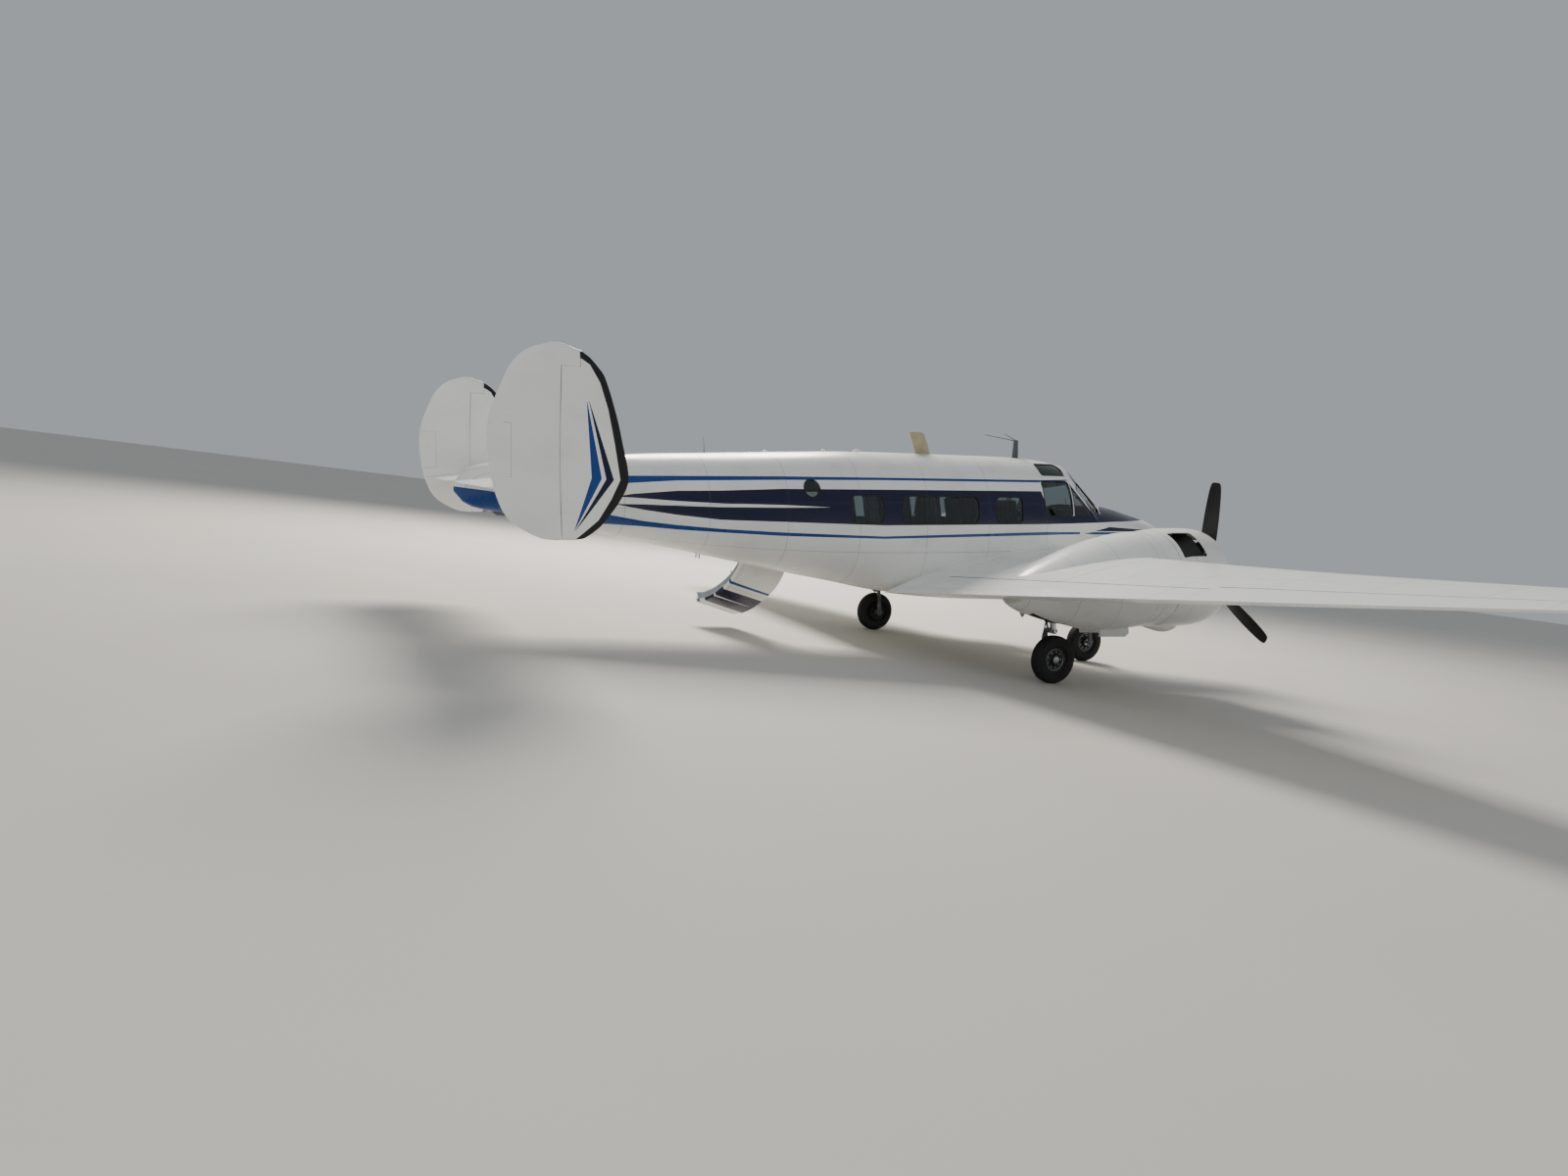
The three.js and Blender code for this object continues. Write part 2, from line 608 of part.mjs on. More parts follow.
// Empennage.
const FIN_Y = 2271;
const RUDDER_S = 10040;
const FIN = table(["z", "le", "te"], [
  [1738, 9880, 10040],
  [1750, 9790, 10150],
  [1860, 9635, 10365],
  [1950, 9560, 10460],
  [2090, 9460, 10528],
  [2260, 9392, 10578],
  [2600, 9454, 10612],
  [2810, 9504, 10582],
  [3140, 9612, 10446],
  [3220, 9672, 10390],
  [3300, 9752, 10312],
  [3350, 9838, 10226],
  [3399, 10005, 10075],
]);
const finOf = (grow) =>
  loft(
    FIN.map(({ z, le, te }) =>
      foilRing({
        te: [te, FIN_Y, z], chord: te - le, camber: 0, axis: "z", grow,
        thick: Math.min(0.095, (18 + 0.09 * (te - le)) / (te - le)),
      }),
    ),
  );
const finLoft = finOf(0);
const finSpec = ({ z, le, te }) => ({
  te: [te, FIN_Y, z], chord: te - le, camber: 0, axis: "z", thick: 0.095,
});
// The fin's hollow opens into the rudder's cove.
const finCore = loft(
  [FIN[3], FIN[5], FIN[7], FIN[8]].map((row) => coreRing(finSpec(row), 0.12, 0.6, 8, 4)),
);
const finGrown = finOf(GAP);
const HORN = { s: 9836, z: 3214 };
const rudderNose = (r) => bar([X(RUDDER_S), FIN_Y, 1600], [X(RUDDER_S), FIN_Y, 3500], r, r, 24);
const behindHinge = block(RUDDER_S, 10700, FIN_Y - 200, FIN_Y + 200, 1600, 3500);
const hornBox = (by) =>
  block(HORN.s - by, 10700, FIN_Y - 200, FIN_Y + 200, HORN.z - by, 3500);
const rudder = main(
  meet(finLoft, join(
    meet(join(rudderNose(52), behindHinge), block(9500, 10700, 2000, 2500, 1500, HORN.z + 40)),
    hornBox(0),
  )),
);
// Hinge brackets reach back from the fin's spar to the rudder's round nose.
const RUDDER_NOSE = 52;
const finBrackets = [2260, 3000].map((z) =>
  meet(finLoft, block(RUDDER_S - 80, RUDDER_S - RUDDER_NOSE - GAP, FIN_Y - 90, FIN_Y + 90, z, z + 40)),
);
const fin = main(
  join(
    cut(
      finLoft, finCore,
      join(rudderNose(60), block(RUDDER_S, 10700, FIN_Y - 200, FIN_Y + 200, 1600, 3500)), hornBox(10),
    ),
    ...finBrackets,
  ),
);

const TAIL_Z = 2172;
const TAIL_HALF = 2260; // the fins cut the tips to their own shape
const ELEVATOR_S = 10060;
const tailSpec = (y, grow = 0) => ({ te: [10580, y, TAIL_Z], chord: 1130, thick: 0.11, camber: 0, grow });
const tailRing = (y, grow) => foilRing(tailSpec(y, grow));
const tailCore = (y0, y1, x0, x1) => loft([y0, y1].map((y) => coreRing(tailSpec(y), x0, x1, 9, 4)));
const tailLoft = (half, grow = 0) => loft([-half, 0, half].map((y) => tailRing(y, grow)));
const ELEVATOR_Y = [242, 2190];
const ELEVATOR_NOSE = 56;
const elevHinge = ELEVATOR_Y.map((y) => [X(ELEVATOR_S), y, TAIL_Z]);
const [elevatorRaw, elevatorHole] = hinged(
  tailLoft(2300), elevHinge[0], elevHinge[1], ELEVATOR_NOSE, ELEVATOR_NOSE, 8,
);
// The outer corner is cut back so that the rudder can swing inwards.
const cornerCut = loft(
  [1800, 2600].map((z) => [
    V(X(10030), 2215, z), V(X(10700), 1905, z), V(X(10700), 2600, z), V(X(10030), 2600, z),
  ]),
);
const elevator = main(cut(elevatorRaw, cornerCut, tailCore(100, 1900, 0.56, 0.88)));
const elevatorBrackets = [-1900, -500, 500, 1900].map((y) =>
  block(ELEVATOR_S - 80, ELEVATOR_S - ELEVATOR_NOSE - GAP, y - 18, y + 18, TAIL_Z - 9, TAIL_Z + 9),
);
const tailplane = main(
  join(
    cut(
      tailLoft(TAIL_HALF), tailCore(-2300, 2300, 0.07, 0.45), finGrown, flip(finGrown),
      block(ELEVATOR_S - 64, 10800, -230, 230, 1900, 2500), elevatorHole, flip(elevatorHole),
      block(ELEVATOR_S - 64, 10800, 2100, 2400, 1900, 2500),
      block(ELEVATOR_S - 64, 10800, -2400, -2100, 1900, 2500),
    ),
    ...elevatorBrackets),
);

// Landing gear.
const [mainX, mainZ] = fromGround(0, WHEEL_R);
const [noseX, noseZ] = fromGround(WHEELBASE, WHEEL_R);
const tyreProfile = (() => {
  const [w, R, rim] = [TYRE_W / 2, WHEEL_R, 152];
  return [
    [-w * 0.72, rim], [-w * 0.97, rim + 34], [-w * 0.98, R - 50], [-w * 0.74, R - 14],
    [-w * 0.3, R], [w * 0.3, R], [w * 0.74, R - 14],
    [w * 0.98, R - 50], [w * 0.97, rim + 34], [w * 0.72, rim],
  ];
})();
const rimProfile = [
  [-60, 22], [-60, 56], [-32, 60], [-32, 128], [-58, 150], [58, 150],
  [32, 128], [32, 60], [60, 56], [60, 22],
];
const wheelAt = (profile, x, y, z, sides = 19) =>
  turned(profile, sides, [0, 0, 0], "y").rotate([0, (PITCH * 180) / Math.PI, 0]).translate([x, y, z]);

const noseTyre = wheelAt(tyreProfile, noseX, 0, noseZ, 26);
// Nose gear: a long oleo leg, a sliding tube, and a fork that turns to steer.
const FORK_TOP = noseZ + 330;
const forkArm = (side) =>
  join(
    bar([noseX, side * 112, noseZ], [noseX, side * 112, FORK_TOP - 12], 24, 26, 8),
    bar([noseX, side * 98, noseZ], [noseX, side * 128, noseZ], 38, 38, 11),
  );
const noseFork = join(
  forkArm(1), forkArm(-1),
  bar([noseX, -112, FORK_TOP - 14], [noseX, 112, FORK_TOP - 14], 30, 30, 9),
  bar([noseX, 0, FORK_TOP - 20], [noseX, 0, FORK_TOP + 96], 34, 34, 14),
  bar([noseX, -100, noseZ], [noseX, 100, noseZ], 21.2, 21.2, 11),
  bar([noseX + 18, 0, FORK_TOP + 4], [noseX + 78.5, 0, FORK_TOP + 4], 16, 16, 8),
);
const LEG_FOOT = FORK_TOP + 96.5;
const noseLeg = join(
  bar([noseX, 0, LEG_FOOT], [noseX, 0, 970], 52, 52, 15),
  bar([noseX, 0, LEG_FOOT + 8], [noseX, 0, LEG_FOOT + 44], 64, 64, 15),
  bar([noseX, -129.5, 945], [noseX, 129.5, 945], 22, 22, 9),
  bar([noseX, 0, LEG_FOOT + 110], [noseX - 330, 0, 945], 19, 19, 8),
  bar([noseX - 330, -60, 945], [noseX - 330, 60, 945], 16, 16, 8),
);
// Walls of the nose gear's well, which carry its trunnion.
const wellWalls = [-1, 1].map((side) =>
  block(1690, 2250, side > 0 ? 130 : -148, side > 0 ? 148 : -130, 916, 976),
);
const noseWell = join(
  block(1690, 2080, -130, 130, 700, 1100),
  block(2060, 2260, -72, 72, 700, 1000),
);

// Main gear: an oleo over the wheel, cranked round its inboard side to the axle.
const inY = TRACK_HALF - 128;
const mainLegRaw = join(
  bar([mainX - 18, TRACK_HALF, mainZ + 322], [mainX - 70, TRACK_HALF, 1040], 50, 50, 10),
  bar([mainX - 18, TRACK_HALF + 34, mainZ + 332], [mainX - 18, inY, mainZ + 332], 34, 30, 7),
  bar([mainX - 18, inY, mainZ + 344], [mainX, inY, mainZ - 10], 30, 32, 7),
  bar([mainX, inY - 24, mainZ], [mainX, inY + 30, mainZ], 52, 52, 8),
  bar([mainX, inY, mainZ], [mainX, TRACK_HALF + 44, mainZ], 21.2, 21.2, 8),
  bar([mainX - 96, TRACK_HALF, mainZ + 352], [mainX - 14, TRACK_HALF, mainZ + 332], 14, 18, 6),
  bar([mainX - 96, TRACK_HALF, mainZ + 346], [mainX - 128, TRACK_HALF, mainZ + 452], 14, 14, 6),
  bar([mainX - 128, TRACK_HALF, mainZ + 452], [mainX - 40, TRACK_HALF, mainZ + 500], 14, 14, 6),
  bar([mainX - 40, TRACK_HALF, mainZ + 470], [mainX + 330, TRACK_HALF, 930], 22, 22, 6),
);
const mainLeg = main(cut(mainLegRaw, wingGrown));

// Interior.
const FLOOR = [
  [1960, 1010], [6400, 1206], [7560, 1330], [7560, 1302], [6400, 1178], [1960, 982],
];
const cabinFloor = main(
  meet(
    sidePrism(FLOOR, -680, 680),
    join(deckHull(WALL + 0.9), canopyHull(WALL + 0.9), cabinHull(WALL + 0.9)),
  ),
);
const floorAt = (s) => (s < 6400 ? 1010 + ((s - 1960) * 196) / 4440 : 1206 + ((s - 6400) * 124) / 1160);
const bulkhead = main(
  cut(
    meet(block(7600, 7624, -700, 700, 1300, 2600), cabinHull(WALL + 0.9)),
    block(7500, 7700, -240, 240, 1560, 2300),
  ),
);
const PANEL = [
  [1960, 1960], [2360, 1990], [2380, 1900], [2350, 1560], [2320, 1560], [2330, 1860], [1960, 1860],
];
const panel = main(meet(sidePrism(PANEL, -700, 700), behindScreen(deckHull(WALL + 0.4), 60)));
function seat(s, y, width, depth = 430, back = 620) {
  const f = floorAt(s) + GAP;
  return join(
    block(s - depth, s, y - width / 2, y + width / 2, f + 4, f + 380),
    sidePrism(
      [[s - 60, f + 360], [s + 60, f + 360], [s + 170, f + 380 + back], [s + 80, f + 380 + back]],
      y - width / 2, y + width / 2,
    ),
  );
}
const rail = (s0, s1, y) =>
  sidePrism(
    [[s0, floorAt(s0) + GAP], [s1, floorAt(s1) + GAP], [s1, floorAt(s1) + 16], [s0, floorAt(s0) + 16]],
    y - 20, y + 20,
  );
const crewSeat = join(seat(3060, 290, 430), rail(2640, 3060, 290));
const cabinSeats = join(
  ...[3900, 4750, 5600].map((s) => seat(s, 335, 360)),
  rail(3480, 5610, 335),
);

// Body shells.
const bothSides = (shape, y0 = 350, y1 = 1000) => {
  const a = sidePrism(shape, y0, y1);
  return [a, flip(a)];
};
// Glass outline on the windscreen's plane, as a prism through the wall.
function screenPrism(shrink, from, to) {
  const foot = toV(POST_FOOT);
  const u = toV(POST_HEAD).sub(foot).normalize();
  const w = screenNormal.clone().cross(u).normalize();
  if (w.y > 0) w.negate();
  const at = (a, b, d) =>
    foot.clone().addScaledVector(u, a).addScaledVector(w, b).addScaledVector(screenNormal, d);
  const corners = [
    [58 + shrink, 38 + shrink], [545 - shrink, 38 + shrink],
    [742 - shrink, 520 - shrink], [272 + shrink, 640 - shrink],
  ];
  return loft([from, to].map((d) => corners.map(([a, b]) => at(a, b, d))));
}
const screenHole = screenPrism(0, -120, 60);
const windscreen = screenPrism(2 * GAP, -12, -3);

const cockpitCuts = [
  ...bothSides(paneOf(SIDE_WINDOW), 300),
  ...bothSides(new THREE.Shape(QUARTER.map(([s, z]) => new THREE.Vector2(X(s), z))), 300),
  ...bothSides(paneOf(EYEBROW), 150),
];
const cockpitShell = main(
  join(cut(
    cockpitOuter
      .trimByPlane([-1, 0, 0], -X(NOSE_END + GAP))
      .trimByPlane([1, 0, 0], X(COCKPIT_END)),
    cut(cockpitInner, block(1500, NOSE_END + 60, -900, 900, 0, 3000)),
    screenHole, flip(screenHole), ...cockpitCuts, noseWell,
  ), ...wellWalls),
);
const cabinShell = main(
  cut(
    cabinOuter, cabinInner, ...WINDOWS.flatMap((w) => bothSides(paneOf(w), 400)),
    flip(sidePrism(paneOf(PORTHOLE), 400, 1000)), doorHole,
    bar(
      hingeA.clone().addScaledVector(hingeWay, -2).toArray(),
      hingeB.clone().addScaledVector(hingeWay, 2).toArray(), 8.6, 8.6, 8,
    ),
  ),
);
const tailCone = main(cut(
  cut(tailOuter, tailInner).simplify(0.9), tailLoft(700, 0.8),
  block(ELEVATOR_S - 80, 10700, -60, 60, 2110, 2234),
));

// Glass fills each window nearly to the skin and is held behind the wall by a common strip.
const skinGlass = (shape, prisms, strip) =>
  join(
    ...prisms.map((p) => meet(p, cut(shape(3), shape(WALL + 8)))),
    meet(strip, cut(shape(WALL + 3), shape(WALL + 8))),
  );
const cabinGlass = (side) => {
  const glass = skinGlass(
    cabinHull,
    [
      ...WINDOWS.map((w) => sidePrism(paneOf(w, -GAP), 400, 1000)),
      ...(side < 0 ? [sidePrism(paneOf(PORTHOLE, -GAP), 400, 1000)] : []),
    ],
    side < 0
      ? join(
        block(3600, 6300, 400, 1000, 1735, 2130), block(6250, 6850, 400, 1000, 2030, 2130),
        block(6540, 6850, 400, 1000, 2030, 2310),
      )
      : block(3600, 6300, 400, 1000, 1735, 2130),
  );
  return side < 0 ? flip(glass) : glass;
};
const cockpitGlassPort = skinGlass(
  canopyHull,
  [
    sidePrism(paneOf(SIDE_WINDOW, -GAP), 300, 1000),
    sidePrism(QUARTER.map(([s, z], i) => [s + [2, -1, -1][i], z + [1, 1, -3][i]]), 300, 1000),
    sidePrism(paneOf(EYEBROW, -GAP), 150, 1000),
  ],
  join(block(2560, 3350, 150, 1000, 1830, 1868), block(2790, 3350, 150, 1000, 1830, 2560)),
);

// Airstair: the closed door's own piece of wall, with treads, swung open on its hinge.
// Its lower front corner is notched inside, where it would swing into the jamb.
const doorWall = cut(meet(cut(cabinOuter, cabinInner), doorPrism), block(6400, 6448, 300, 446, 1150, 1262));
// The inner face of the side wall at a station and height.
const liningAt = (s, z) => {
  const at = (column) => along(CABIN, "s", column, s);
  const above = z > at("wide");
  const [n, reach] = above ? [at("up"), at("top") - at("wide")] : [at("down"), at("wide") - at("bottom")];
  return at("half") * (1 - (Math.abs(z - at("wide")) / reach) ** n) ** (1 / n) - WALL;
};
const sillRise = (s) => ((HINGE_B[2] - HINGE_A[2]) * (s - HINGE_A[0])) / (HINGE_B[0] - HINGE_A[0]);
// Steps that lie level when the door hangs open, between two stringers.
const STEP = { first: 230, pitch: 205, count: 4, wide: 165, thick: 16, from: 6470, to: 7000 };
const STRINGER = { thick: 14, depth: 108, foot: 160, head: 1010 };
const stepWay = [Math.cos(deg(DOOR_OPEN)), Math.sin(deg(DOOR_OPEN))];
const step = (up) =>
  loft([STEP.from, STEP.to].map((s) => {
    const z = HINGE_A[2] + up + sillRise(s);
    const at = (far, high) =>
      V(
        X(s), liningAt(s, z) + 6 + stepWay[0] * far - stepWay[1] * high,
        z + stepWay[1] * far + stepWay[0] * high,
      );
    return [at(0, 0), at(STEP.wide, 0), at(STEP.wide, STEP.thick), at(0, STEP.thick)];
  }));
const stringer = (s) =>
  loft([s, s + STRINGER.thick].map((q) => {
    const count = 5;
    const rows = Array.from({ length: count }, (_, i) => {
      const up = STRINGER.foot + ((STRINGER.head - STRINGER.foot) * i) / (count - 1);
      return HINGE_A[2] + up + sillRise(q);
    });
    const edge = (into) => rows.map((z) => V(X(q), liningAt(q, z) + into, z));
    return [...edge(6), ...edge(-STRINGER.depth).reverse()];
  }));
const stairs = [
  ...Array.from({ length: STEP.count }, (_, i) => step(STEP.first + STEP.pitch * i)),
  stringer(STEP.from - STRINGER.thick / 2), stringer(STEP.to - STRINGER.thick / 2),
];
// A piano hinge along the sill: its tube turns in a groove in the cabin's skin.
const HINGE_R = 8;
const hingeTube = (r) => bar(hingeA.toArray(), hingeB.toArray(), r, r, 8);
const hingeLeaf = loft(
  [[HINGE_A, 20], [HINGE_B, -20]].map(([[s, y, z], d]) => [
    V(X(s + d), y - 4, z), V(X(s + d), y + 4, z), V(X(s + d), y + 10, z + 26), V(X(s + d), y - 8, z + 26),
  ]),
);
const doorClosed = main(join(doorWall, hingeTube(HINGE_R), hingeLeaf, ...stairs));
function turn(body, point, way, degrees) {
  const m = new THREE.Matrix4()
    .makeTranslation(point.x, point.y, point.z)
    .multiply(new THREE.Matrix4().makeRotationAxis(way, deg(degrees)))
    .multiply(new THREE.Matrix4().makeTranslation(-point.x, -point.y, -point.z));
  return body.transform(m.elements);
}
const door = turn(doorClosed, hingeA, hingeWay, DOOR_OPEN);

// Antennas.
const roofAt = (s) => along(CABIN, "s", "top", s);
const finOnRoof = (rows, thick, roof) =>
  cut(
    loft(rows.map(([z, le, te]) =>
      foilRing({ te: [te, 0, z], chord: te - le, thick, camber: 0, axis: "z" }),
    )),
    roof,
  );
const bladeAntenna = finOnRoof(
  [[roofAt(4800) - 20, 4650, 4882], [roofAt(4800) + 140, 4712, 4938], [roofAt(4800) + 245, 4762, 4980],
    [roofAt(4800) + 272, 4800, 4990]],
  0.12, cabinHull(-GAP),
);
// A mast with two rods that sweep aft and outward.
const MAST = { s: 3275, top: 2842, head: 2832, back: 360, out: 210, rise: 70, r: 5 };
const mastAntenna = join(
  finOnRoof([[roofAt(MAST.s) - 20, 3232, 3338], [MAST.top, 3246, 3318]], 0.3, canopyHull(-GAP)),
  ...[1, -1].map((side) =>
    bar(
      [X(MAST.s - 12), 0, MAST.head - 6],
      [X(MAST.s + MAST.back), side * MAST.out, MAST.head + MAST.rise], MAST.r * 2, MAST.r, 6,
    ),
  ),
);

// Assembly.
const pair = (name, body, material, other = null, near = 0.3) => {
  put(name + "_left", body, material, near);
  put(name + "_right", other ?? flip(body), material, near);
};
put("nose_section", join(noseSolid, noseTip), "skin");
put("cockpit_shell", cockpitShell, "skin", 0.9);
put("cabin_shell", cabinShell, "skin", 0.9);
put("tail_cone", tailCone, "skin", 0.1);
put("cabin_floor", cabinFloor, "skin");
put("aft_bulkhead", bulkhead, "lining");
put("instrument_panel", panel, "panel");
pair("crew_seat", crewSeat, "seat");
pair("cabin_seats", cabinSeats, "seat");
pair("windscreen", flip(windscreen), "glass");
pair("cockpit_glazing", cockpitGlassPort, "glass", null, 1);
pair("cabin_glazing", cabinGlass(1), "glass", cabinGlass(-1), 1);
put("airstair", door, "skin");
const inner = (a) => main(
  cut(meet(a, block(0, 9000, 0, JOINT_Y - GAP, 0, 3000)), wholeHull, cowlSpace, nacelleNose),
);
const wingInner = inner(fixedWing);
pair("centre_wing", wingInner, "skin", null, 0.6);
pair("outer_wing", main(meet(fixedWing, block(0, 9000, JOINT_Y, 8000, 0, 3000))), "skin");
pair("flap", cut(flap, wingCore([900, FLAP_Y[1] - 60], 0.83, 0.95, 7, 3)), "skin");
pair("aileron", aileron, "skin");
put("nacelle_left", nacelle, "skin");
put("nacelle_right", flip(nacelle), "skin");
put("cowling_left", cowlRing, "skin");
put("cowling_right", flip(main(cut(cowlRing, hatch))), "skin");
pair("engine", radialEngine(), "engine");
put("propeller_left", placeProp(propeller(30), 1), "blade");
put("propeller_right", placeProp(propeller(4.2), -1), "blade");
put("tailplane", tailplane, "skin");
pair("elevator", elevator, "skin");
pair("fin", fin, "skin");
pair("rudder", rudder, "skin");
pair("main_leg", mainLeg, "steel");
pair("main_wheel", wheelAt(rimProfile, mainX, TRACK_HALF, mainZ), "rim");
pair("main_tyre", wheelAt(tyreProfile, mainX, TRACK_HALF, mainZ, 26), "tyre");
put("nose_leg", noseLeg, "steel");
put("nose_fork", noseFork, "steel");
put("nose_wheel", wheelAt(rimProfile, noseX, 0, noseZ), "rim");
put("nose_tyre", noseTyre, "tyre");
put("antenna_blade", bladeAntenna, "antenna");
put("antenna_mast", mastAntenna, "panel");

const MATERIALS = {
  skin: { color: 0xf2f2ee, roughness: 0.35 },
  lining: { color: 0x8d8a80, roughness: 0.8 },
  panel: { color: 0x22242a, roughness: 0.7 },
  seat: { color: 0x3a3f4a, roughness: 0.85 },
  glass: { color: 0x9fb8bd, roughness: 0.05, transparent: true, opacity: 0.35 },
  engine: { color: 0x55585a, roughness: 0.5, metalness: 0.6 },
  blade: { color: 0x141414, roughness: 0.5 },
  steel: { color: 0x9aa0a3, roughness: 0.4, metalness: 0.7 },
  rim: { color: 0xb8bbbd, roughness: 0.45, metalness: 0.5 },
  tyre: { color: 0x15151a, roughness: 0.9 },
  antenna: { color: 0xb5ab84, roughness: 0.6 },
};
const materials = Object.fromEntries(
  Object.entries(MATERIALS).map(([k, v]) => [k, new THREE.MeshStandardMaterial(v)]),
);

const airframe = new THREE.Group();
airframe.rotation.y = -PITCH;
airframe.position.x = ORIGIN_X;
for (const [name, [body, material]] of parts) {
  const m = body.getMesh();
  const g = new THREE.BufferGeometry();
  const flat = new Float32Array(m.numVert * 3);
  for (let i = 0; i < m.numVert; i++)
    flat.set(m.vertProperties.subarray(i * m.numProp, i * m.numProp + 3), i * 3);
  g.setAttribute("position", new THREE.BufferAttribute(flat, 3));
  g.setIndex(new THREE.BufferAttribute(m.triVerts, 1));
  g.computeVertexNormals();
  const mesh = new THREE.Mesh(g, materials[material]);
  mesh.name = name;
  airframe.add(mesh);
}
const aircraft = new THREE.Group();
aircraft.add(airframe);
export default aircraft;
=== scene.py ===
# %% [markdown]
# # A parked twin-engine light aircraft
# The aircraft stands nose-up on its three wheels with its airstair open.
# Every piece below is modelled along the airframe's own axis, then tilted as
# a whole, because stations and heights are easy to read that way. A packed
# frame of plain solids carries the pieces, and tells which of them move.

# %% Load the frame
import math

import bmesh
import bpy
from mathutils import Matrix, Vector


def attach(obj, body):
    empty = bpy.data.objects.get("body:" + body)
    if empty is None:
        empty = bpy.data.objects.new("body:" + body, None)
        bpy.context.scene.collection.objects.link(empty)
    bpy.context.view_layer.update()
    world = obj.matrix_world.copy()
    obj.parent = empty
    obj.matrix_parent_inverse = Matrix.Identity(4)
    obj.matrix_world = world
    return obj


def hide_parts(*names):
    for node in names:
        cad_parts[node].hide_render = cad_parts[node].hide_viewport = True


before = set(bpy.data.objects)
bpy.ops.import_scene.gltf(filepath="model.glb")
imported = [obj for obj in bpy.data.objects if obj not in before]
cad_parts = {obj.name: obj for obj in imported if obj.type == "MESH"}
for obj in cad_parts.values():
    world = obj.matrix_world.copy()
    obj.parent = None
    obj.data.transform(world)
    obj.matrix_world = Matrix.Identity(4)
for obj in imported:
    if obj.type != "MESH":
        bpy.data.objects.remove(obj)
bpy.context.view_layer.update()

# %% [markdown]
# ## Airframe axes
# A station s runs aft from the nose tip, y is to port and z is up, all in
# metres. The main wheels touch the ground at station 4.21. One matrix tilts
# the airframe by its parking attitude and moves it to the frame's origin.

# %% Stations to metres
PITCH = 0.11
MAIN_S = 4.210
ORIGIN_X = 1.305
AIRFRAME = Matrix.Translation((ORIGIN_X, 0, 0)) @ Matrix.Rotation(-PITCH, 4, "Y")
SIDES = {"left": 1, "right": -1}


def at(s, y, z):
    return Vector((MAIN_S - s, y, z))


def from_ground(x, z):
    """A point of the level ground, ahead of the main wheels and up, in airframe axes."""
    c, d = math.cos(PITCH), math.sin(PITCH)
    return x * c + z * d, -x * d + z * c


print("nose tip in the frame:", [round(v, 3) for v in AIRFRAME @ at(0, 0, 1.352)])

# %% [markdown]
# ## Camera, floor and light
# The photograph was taken from eye height behind the starboard wing with a wide
# lens, and the camera was tilted to one side. The position, direction and roll
# below were worked out from the aircraft's known span, length and track.
# The floor is plain and pale, and one large soft light stands high behind the
# aircraft, as the sun did, so that the sides towards the camera are in shade.

# %% Camera
EYE = Vector((-6.825, -10.82, 1.555))
LOOK = Vector((0.4552, 0.8874, -0.0729)).normalized()
ROLL = 0.126
FOCAL_MM = 23.06
level = LOOK.cross(Vector((0, 0, 1))).normalized()
upright = level.cross(LOOK)
right = math.cos(ROLL) * level + math.sin(ROLL) * upright
above = math.cos(ROLL) * upright - math.sin(ROLL) * level


def linked(name, data):
    """A new object of the scene."""
    o = bpy.data.objects.new(name, data)
    bpy.context.scene.collection.objects.link(o)
    return o


camera = linked("camera", bpy.data.cameras.new("camera"))
camera.data.lens = FOCAL_MM
camera.data.sensor_width = 36
camera.data.clip_end = 400
camera.matrix_world = Matrix.Translation(EYE) @ Matrix((right, above, -LOOK)).transposed().to_4x4()
bpy.context.scene.camera = camera
print("camera", round(EYE.length, 2), "m from the middle of the aircraft")


# %% Colours and shader nodes
def linear(code, alpha=1.0):
    """A colour written as sRGB hex, in the linear values that shaders use."""
    parts = [int(code[i : i + 2], 16) / 255 for i in (1, 3, 5)]
    return (*(c / 12.92 if c <= 0.04045 else ((c + 0.055) / 1.055) ** 2.4 for c in parts), alpha)


def add(tree, kind, inputs=None, **settings):
    """One shader node with its settings, its input values and the nodes linked into it."""
    n = tree.nodes.new("ShaderNode" + kind)
    for key, value in settings.items():
        setattr(n, key, value)
    for key, value in (inputs or {}).items():
        if isinstance(value, bpy.types.ShaderNode):
            value = value.outputs[0]
        if isinstance(value, bpy.types.NodeSocket):
            tree.links.new(value, n.inputs[key])
        else:
            n.inputs[key].default_value = value
    return n


def new_finish(name):
    """An empty material with its output and one Principled shader."""
    material = bpy.data.materials.new(name)
    material.use_nodes = True
    tree = material.node_tree
    tree.nodes.clear()
    shader = add(tree, "BsdfPrincipled")
    add(tree, "OutputMaterial", {"Surface": shader})
    return material, tree, shader


# %% Floor, sky and light
FLOOR_HALF = 150
KEY_HEIGHT = 16


def pale_floor():
    """Matt pale concrete without joints: a faint cloudiness keeps it from looking like paper."""
    material, tree, shader = new_finish("pale_concrete")
    place = add(tree, "TexCoord").outputs["Object"]
    cloud = add(tree, "TexNoise", {"Vector": place, "Scale": 0.35, "Detail": 6})
    mix = add(tree, "Mix", {0: cloud, 6: linear("#C9C6BF"), 7: linear("#D3D0CA")}, data_type="RGBA")
    tree.links.new(mix.outputs[2], shader.inputs["Base Color"])
    shader.inputs["Roughness"].default_value = 0.85
    return material


floor_mesh = bpy.data.meshes.new("floor")
corners = [(-1, -1), (1, -1), (1, 1), (-1, 1)]
floor_mesh.from_pydata([(FLOOR_HALF * x, FLOOR_HALF * y, 0) for x, y in corners], [], [(0, 1, 2, 3)])
floor_mesh.materials.append(pale_floor())
linked("floor", floor_mesh)

world = bpy.data.worlds.new("pale_sky")
world.use_nodes = True
bpy.context.scene.world = world
sky = world.node_tree.nodes["Background"]
sky.inputs["Color"].default_value = linear("#DDE3EA")
sky.inputs["Strength"].default_value = 0.50


def soft_light(name, place, target, size, watts, colour="#FFFFFF"):
    lamp = bpy.data.lights.new(name, "AREA")
    lamp.energy, lamp.size, lamp.color = watts, size, linear(colour)[:3]
    o = linked(name, lamp)
    o.location = place
    o.rotation_euler = (Vector(target) - Vector(place)).to_track_quat("-Z", "Y").to_euler()


